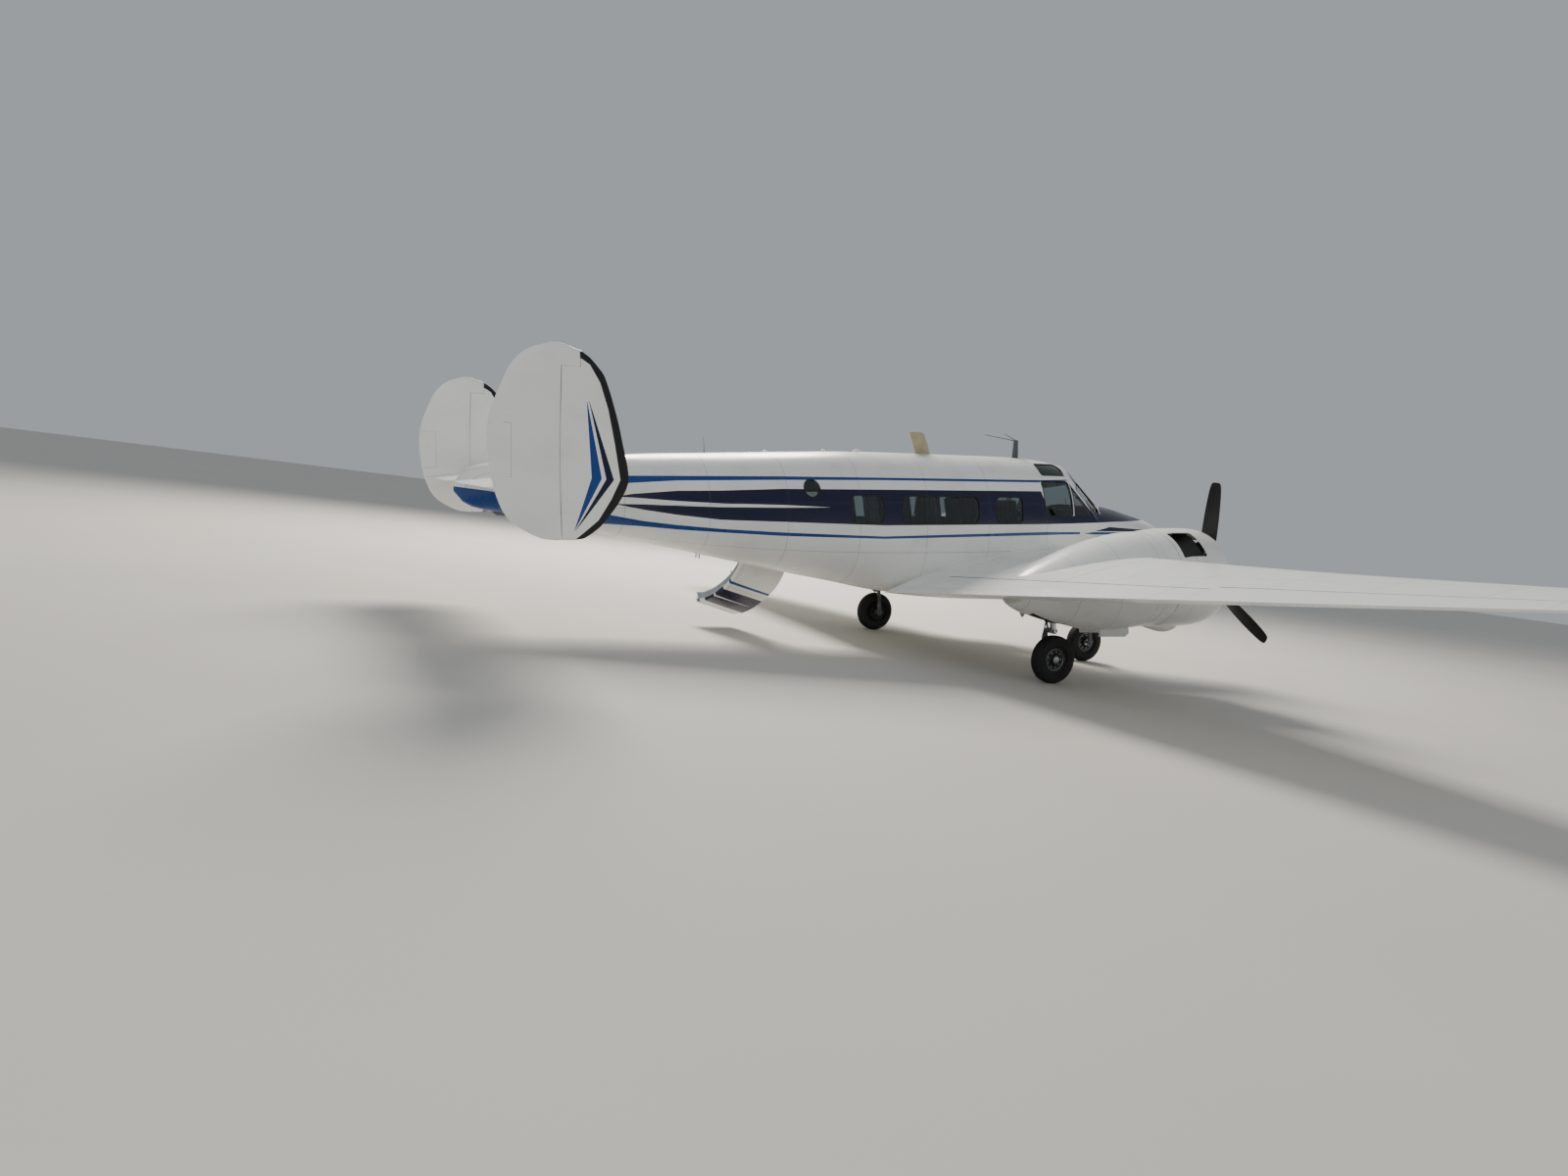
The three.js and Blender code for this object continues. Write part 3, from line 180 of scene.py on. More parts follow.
soft_light("key_behind", (3, 16, KEY_HEIGHT), (0, 0, 1.5), 9, 9000, "#FFF8EC")
soft_light("fill_front", (-10, -16, 9), (0, 0, 1.5), 10, 500)
print("lights placed", KEY_HEIGHT, "m up")

# %% [markdown]
# ## Tools for making meshes
# Most of an aircraft is a skin through a row of cross sections, called a loft.
# Round pieces are turned profiles, and legs are bars. Openings are cut with
# booleans, as a real skin is cut with a router. Every helper gives a mesh in
# airframe axes, and `piece` makes it an object that rides on a body.


# %% Meshes from points
def settled(b):
    """The mesh of a bmesh, which is then let go."""
    mesh = bpy.data.meshes.new("shape")
    b.to_mesh(mesh)
    b.free()
    return mesh


def build(points, faces):
    mesh = bpy.data.meshes.new("shape")
    mesh.from_pydata([tuple(p) for p in points], [], faces)
    b = bmesh.new()
    b.from_mesh(mesh)
    bmesh.ops.remove_doubles(b, verts=b.verts, dist=1e-5)
    bmesh.ops.recalc_face_normals(b, faces=b.faces)
    b.to_mesh(mesh)
    b.free()
    return mesh


def loft(rings, closed=True, loop=False):
    """A skin through rings of equally many points, with flat ends or joined end to end."""
    n, count = len(rings[0]), len(rings)
    points = [p for ring in rings for p in ring]
    faces = []
    for i in range(count if loop else count - 1):
        a, b = i * n, ((i + 1) % count) * n
        for j in range(n if closed else n - 1):
            k = (j + 1) % n
            faces.append((a + j, a + k, b + k, b + j))
    if closed and not loop:
        faces += [tuple(range(n)), tuple(range((count - 1) * n, count * n))]
    return build(points, faces)


def round_angles(count, shift=0.0):
    """Angles spread evenly round a circle, turned by a part of a step."""
    return [2 * math.pi * (k + shift) / count for k in range(count)]


def turned(profile, centre, axis="x", sides=48, closed=True):
    """A profile of (along, radius) points turned about an axis along x or y."""
    rings = []
    for a in round_angles(sides):
        c, d = math.cos(a), math.sin(a)
        if axis == "x":
            rings.append([Vector(centre) + Vector((u, r * c, r * d)) for u, r in profile])
        else:
            rings.append([Vector(centre) + Vector((r * c, u, r * d)) for u, r in profile])
    return loft(rings, closed=closed, loop=True)


def ring_frame(way):
    side = way.cross(Vector((0, 0, 1)) if abs(way.z) < 0.9 else Vector((0, 1, 0))).normalized()
    return side, way.cross(side).normalized()


def tube(path, radii, sides=16):
    """A round bar or bent tube through points, with one radius or one for each point."""
    path = [Vector(p) for p in path]
    if not hasattr(radii, "__len__"):
        radii = [radii] * len(path)
    rings, side = [], None
    for i, p in enumerate(path):
        way = (path[min(i + 1, len(path) - 1)] - path[max(i - 1, 0)]).normalized()
        if side is None:
            side, _ = ring_frame(way)
        side = (side - way * side.dot(way)).normalized()
        other = way.cross(side)
        rings.append([p + radii[i] * (math.cos(a) * side + math.sin(a) * other)
                      for a in round_angles(sides)])
    return loft(rings)


def bend(points, steps=8):
    """A smooth path through a few points."""
    points = [Vector(p) for p in points]
    out = []
    for i in range(len(points) - 1):
        a, b = points[i], points[i + 1]
        before, after = points[max(i - 1, 0)], points[min(i + 2, len(points) - 1)]
        for k in range(steps):
            t = k / steps
            out.append(
                a * (1 + 2 * t) * (1 - t) ** 2 + b * t * t * (3 - 2 * t)
                + (b - before) * 0.5 * t * (1 - t) ** 2 + (after - a) * 0.5 * t * t * (t - 1)
            )
    return out + [points[-1]]


def block(s0, s1, y0, y1, z0, z1, edge=0.0):
    """A block between stations, sides and heights, its edges rounded by a radius."""
    ring = [(s0, z0), (s1, z0), (s1, z1), (s0, z1)]
    mesh = loft([[at(s, y, z) for s, z in ring] for y in (y0, y1)])
    if edge:
        b = bmesh.new()
        b.from_mesh(mesh)
        bmesh.ops.bevel(b, geom=b.edges[:], offset=edge, segments=3, affect="EDGES", profile=0.6)
        b.to_mesh(mesh)
        b.free()
    return mesh


def prism(outline, y0, y1):
    """A side-view outline of (station, height) points carried across the aircraft."""
    return loft([[at(s, y, z) for s, z in outline] for y in (y0, y1)])


# %% Cutting, joining and placing
def evaluated(o):
    """The mesh of an object with its modifiers applied."""
    bpy.context.view_layer.update()
    return bpy.data.meshes.new_from_object(o.evaluated_get(bpy.context.evaluated_depsgraph_get()))


def boolean(how, mesh, tools):
    """A mesh less, with or inside other meshes."""
    objects = [linked("work", m) for m in (mesh, *tools)]
    for tool in objects[1:]:
        m = objects[0].modifiers.new("carve", "BOOLEAN")
        m.operation, m.solver, m.object = how, "MANIFOLD", tool
    made = evaluated(objects[0])
    for o in objects:
        bpy.data.objects.remove(o)
    if not made.polygons:
        raise ValueError("a boolean left nothing")
    return made


def cut(mesh, *tools):
    return boolean("DIFFERENCE", mesh, tools)


def join(mesh, *tools):
    return boolean("UNION", mesh, tools)


def meet(mesh, *tools):
    return boolean("INTERSECT", mesh, tools)


def together(*meshes):
    """Several meshes as one, without melting them into each other."""
    b = bmesh.new()
    for m in meshes:
        b.from_mesh(m)
    return settled(b)


def moved(mesh, matrix):
    made = mesh.copy()
    made.transform(matrix)
    if matrix.determinant() < 0:
        made.flip_normals()
    return made


def mirrored(mesh):
    return moved(mesh, Matrix.Scale(-1, 4, (0, 1, 0)))


def on_side(mesh, side):
    """A copy of a port mesh for one side: as it is to port, mirrored to starboard."""
    return mesh.copy() if side > 0 else mirrored(mesh)


def turn_about(point, way, degrees):
    there = Matrix.Translation(point)
    return there @ Matrix.Rotation(math.radians(degrees), 4, way) @ there.inverted()


pieces = {}


def piece(name, mesh, finish, body="airframe", instead=(), sharp=35, pose=None):
    """An object of the aircraft: smooth but for its sharp edges, on its body."""
    b = bmesh.new()
    b.from_mesh(mesh)
    bmesh.ops.dissolve_degenerate(b, edges=b.edges, dist=1e-6)
    for f in b.faces:
        f.smooth = True
    limit = math.radians(sharp)
    for e in b.edges:
        e.smooth = not (len(e.link_faces) == 2 and e.calc_face_angle(0) > limit)
    b.to_mesh(mesh)
    b.free()
    mesh.name = name
    mesh.materials.clear()
    mesh.materials.append(finish)
    o = linked(name, mesh)
    o.matrix_world = AIRFRAME @ pose if pose else AIRFRAME
    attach(o, body)
    if instead:
        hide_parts(*([instead] if isinstance(instead, str) else instead))
    pieces[name] = o
    return o


# %% [markdown]
# ## Reading a table smoothly
# A draughtsman draws a fuselage from a table of a few stations. Between two
# rows a cubic whose slopes come from the neighbouring rows gives a fair curve.


# %% Tables
def table(columns, rows):
    return [dict(zip(columns.split(), row)) for row in rows]


def along(rows, key, column, where):
    """The smooth value of a column where the key column has a value."""
    if where <= rows[0][key]:
        return rows[0][column]
    if where >= rows[-1][key]:
        return rows[-1][column]
    i = next(k for k, r in enumerate(rows) if r[key] > where) - 1

    def slope(k):
        p, q = rows[max(k - 1, 0)], rows[min(k + 1, len(rows) - 1)]
        return (q[column] - p[column]) / (q[key] - p[key])

    a, b = rows[i], rows[i + 1]
    h = b[key] - a[key]
    t = (where - a[key]) / h
    return (
        a[column] * (1 + 2 * t) * (1 - t) ** 2 + h * slope(i) * t * (1 - t) ** 2
        + b[column] * t * t * (3 - 2 * t) + h * slope(i + 1) * t * t * (t - 1)
    )


def steps(start, end, longest):
    """Evenly spaced values from start to end, no further apart than the longest step."""
    n = max(1, math.ceil(abs(end - start) / longest))
    return [start + (end - start) * i / n for i in range(n + 1)]


print("0 to 1 in steps of at most 0.3:", steps(0, 1, 0.3))

# %% [markdown]
# ## White enamel with blue bands
# The skin is aluminium sheet, sprayed with two-part polyurethane enamel: hard,
# white and glossy. The blue and navy bands were masked with tape, so their
# edges are sharp. They could be cut into the mesh, but a shader that compares
# the height of a point with two outlines keeps the edges sharp at any size.

# %% Colours of the paint scheme
WHITE, GRIME = "#F0F1EE", "#B9B5AA"
BLUE, NAVY, BOOT_BLACK = "#0C3F87", "#040832", "#0C0C0D"
SEAM_DARK, RIVET_DARK = "#3A3A38", "#6E6C66"


# %% Outlines as curve nodes
def outline(tree, where, points):
    """The across value of an outline of straight pieces, where its along value is known."""
    (first, _), (last, _) = points[0], points[-1]
    low = min(p[1] for p in points)
    reach = max(p[1] for p in points) - low + 0.001
    scaled = add(tree, "MapRange", {"Value": where, "From Min": first, "From Max": last})
    node = add(tree, "FloatCurve", {"Value": scaled})
    curve = node.mapping.curves[0]
    places = [((a - first) / (last - first), (b - low) / reach) for a, b in points]
    curve.points[0].location, curve.points[1].location = places[0], places[-1]
    for x, y in places[1:-1]:
        curve.points.new(x, y)
    for p in curve.points:
        p.handle_type = "VECTOR"
    node.mapping.update()
    return add(tree, "Math", {0: node, 1: reach, 2: low}, operation="MULTIPLY_ADD")


def band_mask(tree, where, across, low, high):
    """1 between two outlines and 0 elsewhere."""
    parts = [
        add(tree, "Math", {0: across, 1: outline(tree, where, low)}, operation="GREATER_THAN"),
        add(tree, "Math", {0: across, 1: outline(tree, where, high)}, operation="LESS_THAN"),
        add(tree, "Math", {0: where, 1: max(low[0][0], high[0][0])}, operation="GREATER_THAN"),
        add(tree, "Math", {0: where, 1: min(low[-1][0], high[-1][0])}, operation="LESS_THAN"),
    ]
    mask = parts[0]
    for p in parts[1:]:
        mask = add(tree, "Math", {0: mask, 1: p}, operation="MULTIPLY")
    return mask


# %% Seams and rivets
RIVET_STEP = 0.038  # real rivets are about 25 mm apart, and drawn coarser so that they show
RIVET_R = 0.0045
RIVET_INSET = 0.016
SEAM = 0.0032


def sheet_seam(tree, across, pitch, run):
    """Lines where sheets meet, every pitch metres, with a rivet row on both sides."""
    away = add(tree, "Math", {0: across, 1: pitch / 2}, operation="PINGPONG")
    line = add(tree, "MapRange", {"Value": away, 1: SEAM * 0.35, 2: SEAM, 3: 1.0, 4: 0.0})
    row = add(tree, "Math", {0: away, 1: RIVET_INSET}, operation="SUBTRACT")
    step = add(tree, "Math", {0: run, 1: RIVET_STEP / 2}, operation="PINGPONG")
    spot = add(tree, "CombineXYZ", {0: row, 1: step})
    far = add(tree, "VectorMath", {0: spot}, operation="LENGTH").outputs["Value"]
    head = add(tree, "MapRange", {"Value": far, 1: RIVET_R * 0.5, 2: RIVET_R, 3: 1.0, 4: 0.0})
    return line, head


# The arc length round the hull is measured about its middle line, and wing seams lie raked.
HULL_MIDDLE, HULL_RADIUS, WING_RAKE = 1.72, 0.68, -0.13


def enamel(name, bands=(), seams=(), rubber=(), ribs=None, dirt=0.35):
    """Sprayed gloss enamel on sheet: nearly mirror-smooth, with the faint waves of thin
    sheet, dark hair lines where sheets meet, flush rivets and a film of grime."""
    material, tree, shader = new_finish(name)
    place = add(tree, "TexCoord").outputs["Object"]
    split = add(tree, "SeparateXYZ", {0: place})
    x, y, z = split.outputs
    s = add(tree, "Math", {0: MAIN_S, 1: x}, operation="SUBTRACT")
    middle = add(tree, "Math", {0: z, 1: HULL_MIDDLE}, operation="SUBTRACT")
    angle = add(tree, "Math", {0: middle, 1: y}, operation="ARCTAN2")
    arc = add(tree, "Math", {0: angle, 1: HULL_RADIUS}, operation="MULTIPLY")
    rake = add(tree, "Math", {0: y}, operation="ABSOLUTE")
    raked = add(tree, "Math", {0: rake, 1: WING_RAKE, 2: x}, operation="MULTIPLY_ADD")
    ways = {"s": s, "y": y, "z": z, "arc": arc, "x": x, "raked": raked}

    def coat(under, mask, shade):
        return add(tree, "Mix", {0: mask, 6: under, 7: linear(shade)}, data_type="RGBA").outputs[2]

    def within(way, low, high):
        return band_mask(tree, ways[way], ways["z" if way == "s" else "s"], low, high)

    long_blots = add(tree, "Mapping", {0: place, "Scale": (0.9, 0.45, 1.6)})
    blots = add(tree, "TexNoise", {"Vector": long_blots, "Scale": 2.2, "Detail": 9, "Roughness": 0.62})
    film = add(tree, "MapRange", {"Value": blots, 1: 0.46, 2: 0.8, 3: 0.0, 4: dirt})
    colour = coat(linear(WHITE), film, GRIME)
    wear = add(tree, "MapRange", {"Value": blots, 1: 0.3, 2: 0.8, 3: 0.2, 4: 0.38}).outputs[0]
    for shade, way, low, high in bands:
        colour = coat(colour, within(way, low, high), shade)
    height = add(tree, "TexNoise", {"Vector": place, "Scale": 3.1, "Detail": 1}).outputs[0]
    for across, pitch, run in seams:
        line, head = sheet_seam(tree, ways[across], pitch, ways[run])
        soft = add(tree, "Math", {0: line, 1: 0.6}, operation="MULTIPLY")
        colour = coat(colour, soft, SEAM_DARK)
        faint = add(tree, "Math", {0: head, 1: 0.22}, operation="MULTIPLY")
        colour = coat(colour, faint, RIVET_DARK)
        height = add(tree, "Math", {0: line, 1: -0.9, 2: height}, operation="MULTIPLY_ADD").outputs[0]
    if ribs:
        away = add(tree, "Math", {0: ways[ribs[0]], 1: ribs[1] / 2}, operation="PINGPONG")
        ridge = add(tree, "MapRange", {"Value": away, 1: 0.0, 2: 0.045, 3: 1.0, 4: 0.0},
                    interpolation_type="SMOOTHSTEP")
        height = add(tree, "Math", {0: ridge, 1: 0.8, 2: height}, operation="MULTIPLY_ADD").outputs[0]
    for way, low, high in rubber:
        mask = within(way, low, high)
        colour = coat(colour, mask, BOOT_BLACK)
        wear = add(tree, "Mix", {0: mask, 2: wear, 3: 0.62}).outputs[0]
    tree.links.new(colour, shader.inputs["Base Color"])
    tree.links.new(wear, shader.inputs["Roughness"])
    shader.inputs["IOR"].default_value = 1.5
    bump = add(tree, "Bump", {"Height": height, "Strength": 0.22, "Distance": 0.006})
    tree.links.new(bump.outputs[0], shader.inputs["Normal"])
    return material


# %% Bands of the fuselage
# Each band: colour, what its outlines run along, lower outline, upper outline.
TOP_BLUE = (
    BLUE, "s",
    [(2.80, 2.322), (3.32, 2.305), (3.34, 2.292), (5.74, 2.28), (7.04, 2.26), (8.28, 2.23),
     (8.85, 2.19), (9.7, 2.12)],
    [(2.80, 2.336), (3.32, 2.322), (3.34, 2.322), (5.75, 2.31), (7.04, 2.30), (8.28, 2.28),
     (8.85, 2.27), (9.7, 2.24)],
)
BAND_LOW = [(0.85, 1.78), (1.98, 1.78), (3.30, 1.76), (5.75, 1.75), (7.05, 1.79), (7.80, 1.81),
            (8.29, 1.86), (8.65, 1.91), (8.98, 1.97)]
BAND_HIGH = [
    (0.85, 2.62), (2.40, 2.62), (2.445, 1.868), (3.30, 1.868), (3.34, 2.18), (5.77, 2.17), (7.06, 2.16),
    (7.80, 2.13), (8.30, 2.12), (8.77, 2.08), (8.98, 2.045),
]
SPLIT_LOW = [(6.48, 1.957), (7.06, 1.95), (7.80, 1.95), (8.29, 1.96), (8.65, 1.97), (8.99, 1.97)]
SPLIT_HIGH = [(6.48, 1.958), (7.06, 1.98), (7.80, 1.99), (8.29, 2.01), (8.77, 2.04), (8.99, 2.046)]
NAVY_BAND = (NAVY, "s", BAND_LOW, BAND_HIGH)
WHITE_SPLIT = (WHITE, "s", SPLIT_LOW, SPLIT_HIGH)
LOW_BLUE = (
    BLUE, "s",
    [(2.70, 1.626), (3.29, 1.62), (5.74, 1.59), (7.05, 1.63), (7.79, 1.67), (8.29, 1.70), (8.65, 1.73),
     (9.0, 1.75), (9.6, 1.74), (10.2, 1.79), (10.54, 1.9)],
    [(2.70, 1.652), (3.30, 1.66), (5.75, 1.62), (7.05, 1.67), (7.79, 1.71), (8.29, 1.75), (8.65, 1.79),
     (9.0, 1.85), (9.6, 1.95), (10.2, 2.08), (10.54, 2.12)],
)
ARROWS = [
    (NAVY, "s", [(0.75, 1.560), (1.39, 1.640), (2.00, 1.655), (2.434, 1.662)],
     [(0.75, 1.570), (1.39, 1.665), (2.12, 1.714), (2.434, 1.663)]),
    (BLUE, "s", [(0.75, 1.520), (1.39, 1.590), (2.00, 1.612), (2.45, 1.618), (2.626, 1.634)],
     [(0.75, 1.545), (1.39, 1.622), (2.00, 1.642), (2.45, 1.650), (2.626, 1.636)]),
    (NAVY, "s", [(0.75, 1.490), (1.39, 1.555), (2.14, 1.574), (2.429, 1.596)],
     [(0.75, 1.505), (1.39, 1.575), (2.14, 1.600), (2.429, 1.598)]),
]
fuselage_paint = enamel(
    "white_enamel_blue_bands", [TOP_BLUE, NAVY_BAND, WHITE_SPLIT, LOW_BLUE, *ARROWS],
    seams=[("x", 0.93, "arc"), ("arc", 0.62, "x")],
)
wing_paint = enamel("white_enamel_wing", seams=[("raked", 0.66, "y"), ("y", 0.84, "x")], dirt=0.3)
plain_paint = enamel("white_enamel", dirt=0.3)
nacelle_paint = enamel("white_enamel_nacelle", seams=[("x", 0.55, "z")], dirt=0.42)
print("fuselage paint:", len(fuselage_paint.node_tree.nodes), "shader nodes")

# %% [markdown]
# ## Other finishes of the outside
# Each starts from the real stuff: rubber is dark, rough and slightly brown,
# the wheels are drawn a dark grey, acrylic windows are clear with a green edge.


# %% Rubber, metals and acrylic
def plain_finish(name, colour, rough, metal=0.0, second=None, grain=0.0, scale=60.0, **extra):
    """One colour with a second one clouded into it, and a fine grain in roughness and bump."""
    material, tree, shader = new_finish(name)
    place = add(tree, "TexCoord").outputs["Object"]
    cloud = add(tree, "TexNoise",
                {"Vector": place, "Scale": scale * 0.12, "Detail": 8, "Roughness": 0.6})
    fade = add(tree, "MapRange", {"Value": cloud, 1: 0.38, 2: 0.68})
    mix = add(tree, "Mix", {0: fade, 6: linear(colour), 7: linear(second or colour)}, data_type="RGBA")
    tree.links.new(mix.outputs[2], shader.inputs["Base Color"])
    spread = add(tree, "MapRange", {"Value": cloud, 3: rough * 0.8, 4: min(rough * 1.25, 1.0)})
    tree.links.new(spread.outputs[0], shader.inputs["Roughness"])
    shader.inputs["Metallic"].default_value = metal
    for key, value in extra.items():
        shader.inputs[key.replace("_", " ")].default_value = value
    if grain:
        fine = add(tree, "TexNoise", {"Vector": place, "Scale": scale, "Detail": 4})
        bump = add(tree, "Bump", {"Height": fine, "Strength": grain, "Distance": 0.002})
        tree.links.new(bump.outputs[0], shader.inputs["Normal"])
    return material


def clear_sheet(name, tint, rough=0.03):
    """Acrylic sheet: clear, with clean reflections and a faint tint through its thickness."""
    material, tree, shader = new_finish(name)
    shader.inputs["Base Color"].default_value = linear(tint)
    shader.inputs["Roughness"].default_value = rough
    shader.inputs["IOR"].default_value = 1.49
    shader.inputs["Transmission Weight"].default_value = 1.0
    return material


tyre_rubber = plain_finish("black_rubber_tyre", "#17171A", 0.8, second="#2A2825", grain=0.35, scale=140)
seal_rubber = plain_finish("black_rubber_seal", "#101012", 0.6, second="#1B1B1C")
prop_paint = plain_finish("satin_black_paint", "#0E0F11", 0.38, second="#1A1B1D", grain=0.05, scale=30)
steel_paint = plain_finish("grey_enamel_steel", "#6F7376", 0.4, 0.3, second="#4A4C4D", grain=0.08)
chrome = plain_finish("chrome_plate", "#D9DBDC", 0.08, 1.0)
# The wheels are a dark grey metal, with a darker grey clouded in.
cast_wheel = plain_finish("dark_grey_wheel_metal", "#3F4143", 0.5, 0.4, second="#232425", grain=0.2, scale=90)
bright_metal = plain_finish("brushed_aluminium", "#C7C9CA", 0.32, 1.0, second="#A9ABAC", grain=0.1)
cast_iron = plain_finish("oily_cast_iron", "#3B3C3D", 0.5, 0.6, second="#1F1D1B", grain=0.25, scale=110)
grey_case = plain_finish("grey_enamel_crankcase", "#5F666B", 0.45, 0.2, second="#3C3F40", grain=0.15)
burnt_steel = plain_finish("heat_stained_steel", "#5A4B3F", 0.5, 0.9, second="#2B2725", grain=0.2)
# Dark olive primer of the wheel wells: partly the primer's own colour, partly painted shade for the
# dark inside the wells.
primer_and_well_shade = plain_finish("green_primer_and_painted_shade", "#5C6246", 0.7, second="#43472F", grain=0.1)
soot = plain_finish("oily_dark_enamel", "#1B1B1B", 0.55, second="#2C2A27", grain=0.1)
beige_plastic = plain_finish("beige_fibreglass", "#B8AE88", 0.45, second="#A89E78", grain=0.06)
white_plastic = plain_finish("white_fibreglass", "#E9E9E4", 0.4, second="#D4D3CC")
window_acrylic = clear_sheet("clear_acrylic", "#B4BFC0")
eyebrow_acrylic = clear_sheet("green_acrylic", "#2F5C4A", 0.08)
red_lens = plain_finish("red_lens", "#A5120E", 0.12, second="#7A0D0A")
green_lens = plain_finish("green_lens", "#0F7A45", 0.12, second="#0B5C34")
print(len(bpy.data.materials), "finishes")

# %% [markdown]
# ## Fuselage skin
# The fuselage is an all-metal shell. Its sections are fair ovals: squarer at
# the floor, rounder at the roof. Each section is a superellipse, whose power
# says how square it is, so two numbers give every section its character.
# The shell is 40 mm from skin to lining, with the windows cut through it.

# %% Hull tables and sections
HULL = "s half top bottom wide up down"
NOSE = table(HULL, [
    [0, 0.026, 1.378, 1.326, 1.352, 2, 2],
    [0.060, 0.116, 1.440, 1.262, 1.352, 2, 2],
    [0.200, 0.208, 1.512, 1.200, 1.354, 2, 2],
    [0.420, 0.300, 1.583, 1.140, 1.362, 2.05, 2.1],
    [0.680, 0.382, 1.652, 1.080, 1.378, 2.1, 2.2],
    [1.000, 0.462, 1.776, 1.015, 1.410, 2.15, 2.3],
    [1.340, 0.535, 1.860, 0.950, 1.460, 2.2, 2.4],
    [1.790, 0.612, 1.960, 0.885, 1.540, 2.3, 2.5],
    [2.400, 0.676, 2.030, 0.838, 1.600, 2.5, 2.6],
    [3.400, 0.724, 2.040, 0.820, 1.640, 2.6, 2.6],
])
CABIN = table(HULL, [
    [1.700, 0.598, 2.010, 0.895, 1.560, 2.0, 2.5],
    [1.900, 0.628, 2.150, 0.872, 1.600, 2.0, 2.5],
    [2.260, 0.664, 2.375, 0.845, 1.640, 2.1, 2.55],
    [2.500, 0.684, 2.488, 0.833, 1.660, 2.2, 2.6],
    [2.860, 0.706, 2.562, 0.824, 1.680, 2.3, 2.6],
    [3.350, 0.723, 2.602, 0.820, 1.700, 2.35, 2.6],
    [4.300, 0.727, 2.612, 0.820, 1.710, 2.35, 2.6],
    [5.100, 0.725, 2.614, 0.850, 1.716, 2.35, 2.6],
    [5.570, 0.720, 2.614, 0.908, 1.726, 2.35, 2.55],
    [6.110, 0.709, 2.606, 1.022, 1.750, 2.3, 2.5],
    [6.750, 0.686, 2.584, 1.150, 1.785, 2.25, 2.4],
    [7.640, 0.632, 2.548, 1.338, 1.850, 2.2, 2.3],
    [8.300, 0.566, 2.522, 1.478, 1.905, 2.15, 2.2],
    [8.890, 0.480, 2.490, 1.600, 1.960, 2.1, 2.1],
    [9.500, 0.350, 2.446, 1.724, 2.030, 2.05, 2.05],
    [10.110, 0.208, 2.376, 1.852, 2.090, 2, 2],
    [10.420, 0.112, 2.300, 1.936, 2.112, 2, 2],
    [10.540, 0.024, 2.160, 2.070, 2.116, 2, 2],
])
WALL, TAIL_WALL = 0.040, 0.014
NOSE_END, COCKPIT_END, CABIN_END, TAIL_END = 1.600, 3.400, 7.800, 10.540
SEAM_GAP = 0.001


def hull_section(rows, s, inset):
    """The six numbers of one section, set in by a depth."""
    half, top, bottom, wide, up, down = (along(rows, "s", c, s) for c in HULL.split()[1:])
    return half - inset, top - inset, bottom + inset, wide, up, down


def hull_ring(rows, s, inset=0.0, count=104, y=0.0):
    """One section as points: a superellipse whose upper and lower halves differ."""
    half, top, bottom, wide, up, down = hull_section(rows, s, inset)
    ring = []
    for a in round_angles(count, 0.5):
        c, d = math.cos(a), math.sin(a)
        n = up if d > 0 else down
        reach = top - wide if d > 0 else wide - bottom
        ring.append(at(
            s, y + half * math.copysign(abs(c) ** (2 / n), c),
            wide + reach * math.copysign(abs(d) ** (2 / n), d),
        ))
    return ring


def hull(rows, start, end, inset=0.0, step=0.09, count=104, y=0.0):
    return loft([hull_ring(rows, s, inset, count, y) for s in steps(start, end, step)])


# %% Windscreen planes
# The windscreen is two flat panes that meet at a centre post.
POST_FOOT, POST_HEAD, OUTER_FOOT = at(1.790, 0, 1.960), at(2.260, 0, 2.360), at(2.370, -0.600, 1.860)
screen_normal = (POST_HEAD - POST_FOOT).cross(OUTER_FOOT - POST_FOOT).normalized()
if screen_normal.z < 0:
    screen_normal.negate()
pane_up = (POST_HEAD - POST_FOOT).normalized()
pane_out = screen_normal.cross(pane_up).normalized()
if pane_out.y > 0:
    pane_out.negate()


def on_pane(up, out, off):
    """A point by the starboard pane: up the post, outward from it, and off the glass."""
    return POST_FOOT + pane_up * up + pane_out * out + screen_normal * off


def trimmed(mesh, point, normal):
    """The part of a closed mesh behind a plane, closed again."""
    b = bmesh.new()
    b.from_mesh(mesh)
    geometry = b.verts[:] + b.edges[:] + b.faces[:]
    new = bmesh.ops.bisect_plane(b, geom=geometry, plane_co=point, plane_no=normal, clear_outer=True)
    rim = [e for e in new["geom_cut"] if isinstance(e, bmesh.types.BMEdge)]
    bmesh.ops.holes_fill(b, edges=rim, sides=0)
    bmesh.ops.recalc_face_normals(b, faces=b.faces)
    return settled(b)


def behind_screen(mesh, depth=0.0):
    n = screen_normal
    mesh = trimmed(mesh, POST_FOOT - n * depth, n)
    other = Vector((n.x, -n.y, n.z))
    return trimmed(mesh, POST_FOOT - other * depth, other)


def deck_hull(inset):
    return hull(NOSE, NOSE_END - 0.060, 3.000 - inset, inset)


def canopy_hull(inset):
    return behind_screen(hull(CABIN, 1.720, COCKPIT_END + 0.060, inset), inset)


def between(mesh, s0, s1):
    """The part of a mesh between two stations."""
    return meet(mesh, block(s0, s1, -3, 3, -1, 4))


# %% Window openings
WINDOWS = table("s0 s1 z0 z1 r", [
    [3.680, 4.110, 1.772, 2.100, 0.070],
    [4.370, 5.500, 1.772, 2.100, 0.080],
    [5.760, 6.200, 1.772, 2.100, 0.070],
])
PORTHOLE = dict(s0=6.590, s1=6.790, z0=2.070, z1=2.270, r=0.099)
SIDE_WINDOW = dict(s0=2.835, s1=3.320, z0=1.865, z1=2.310, r=0.040)
EYEBROW = dict(s0=2.810, s1=3.260, z0=2.385, z1=2.530, r=0.030)
QUARTER = [(2.440, 1.872), (2.805, 1.872), (2.805, 2.262)]


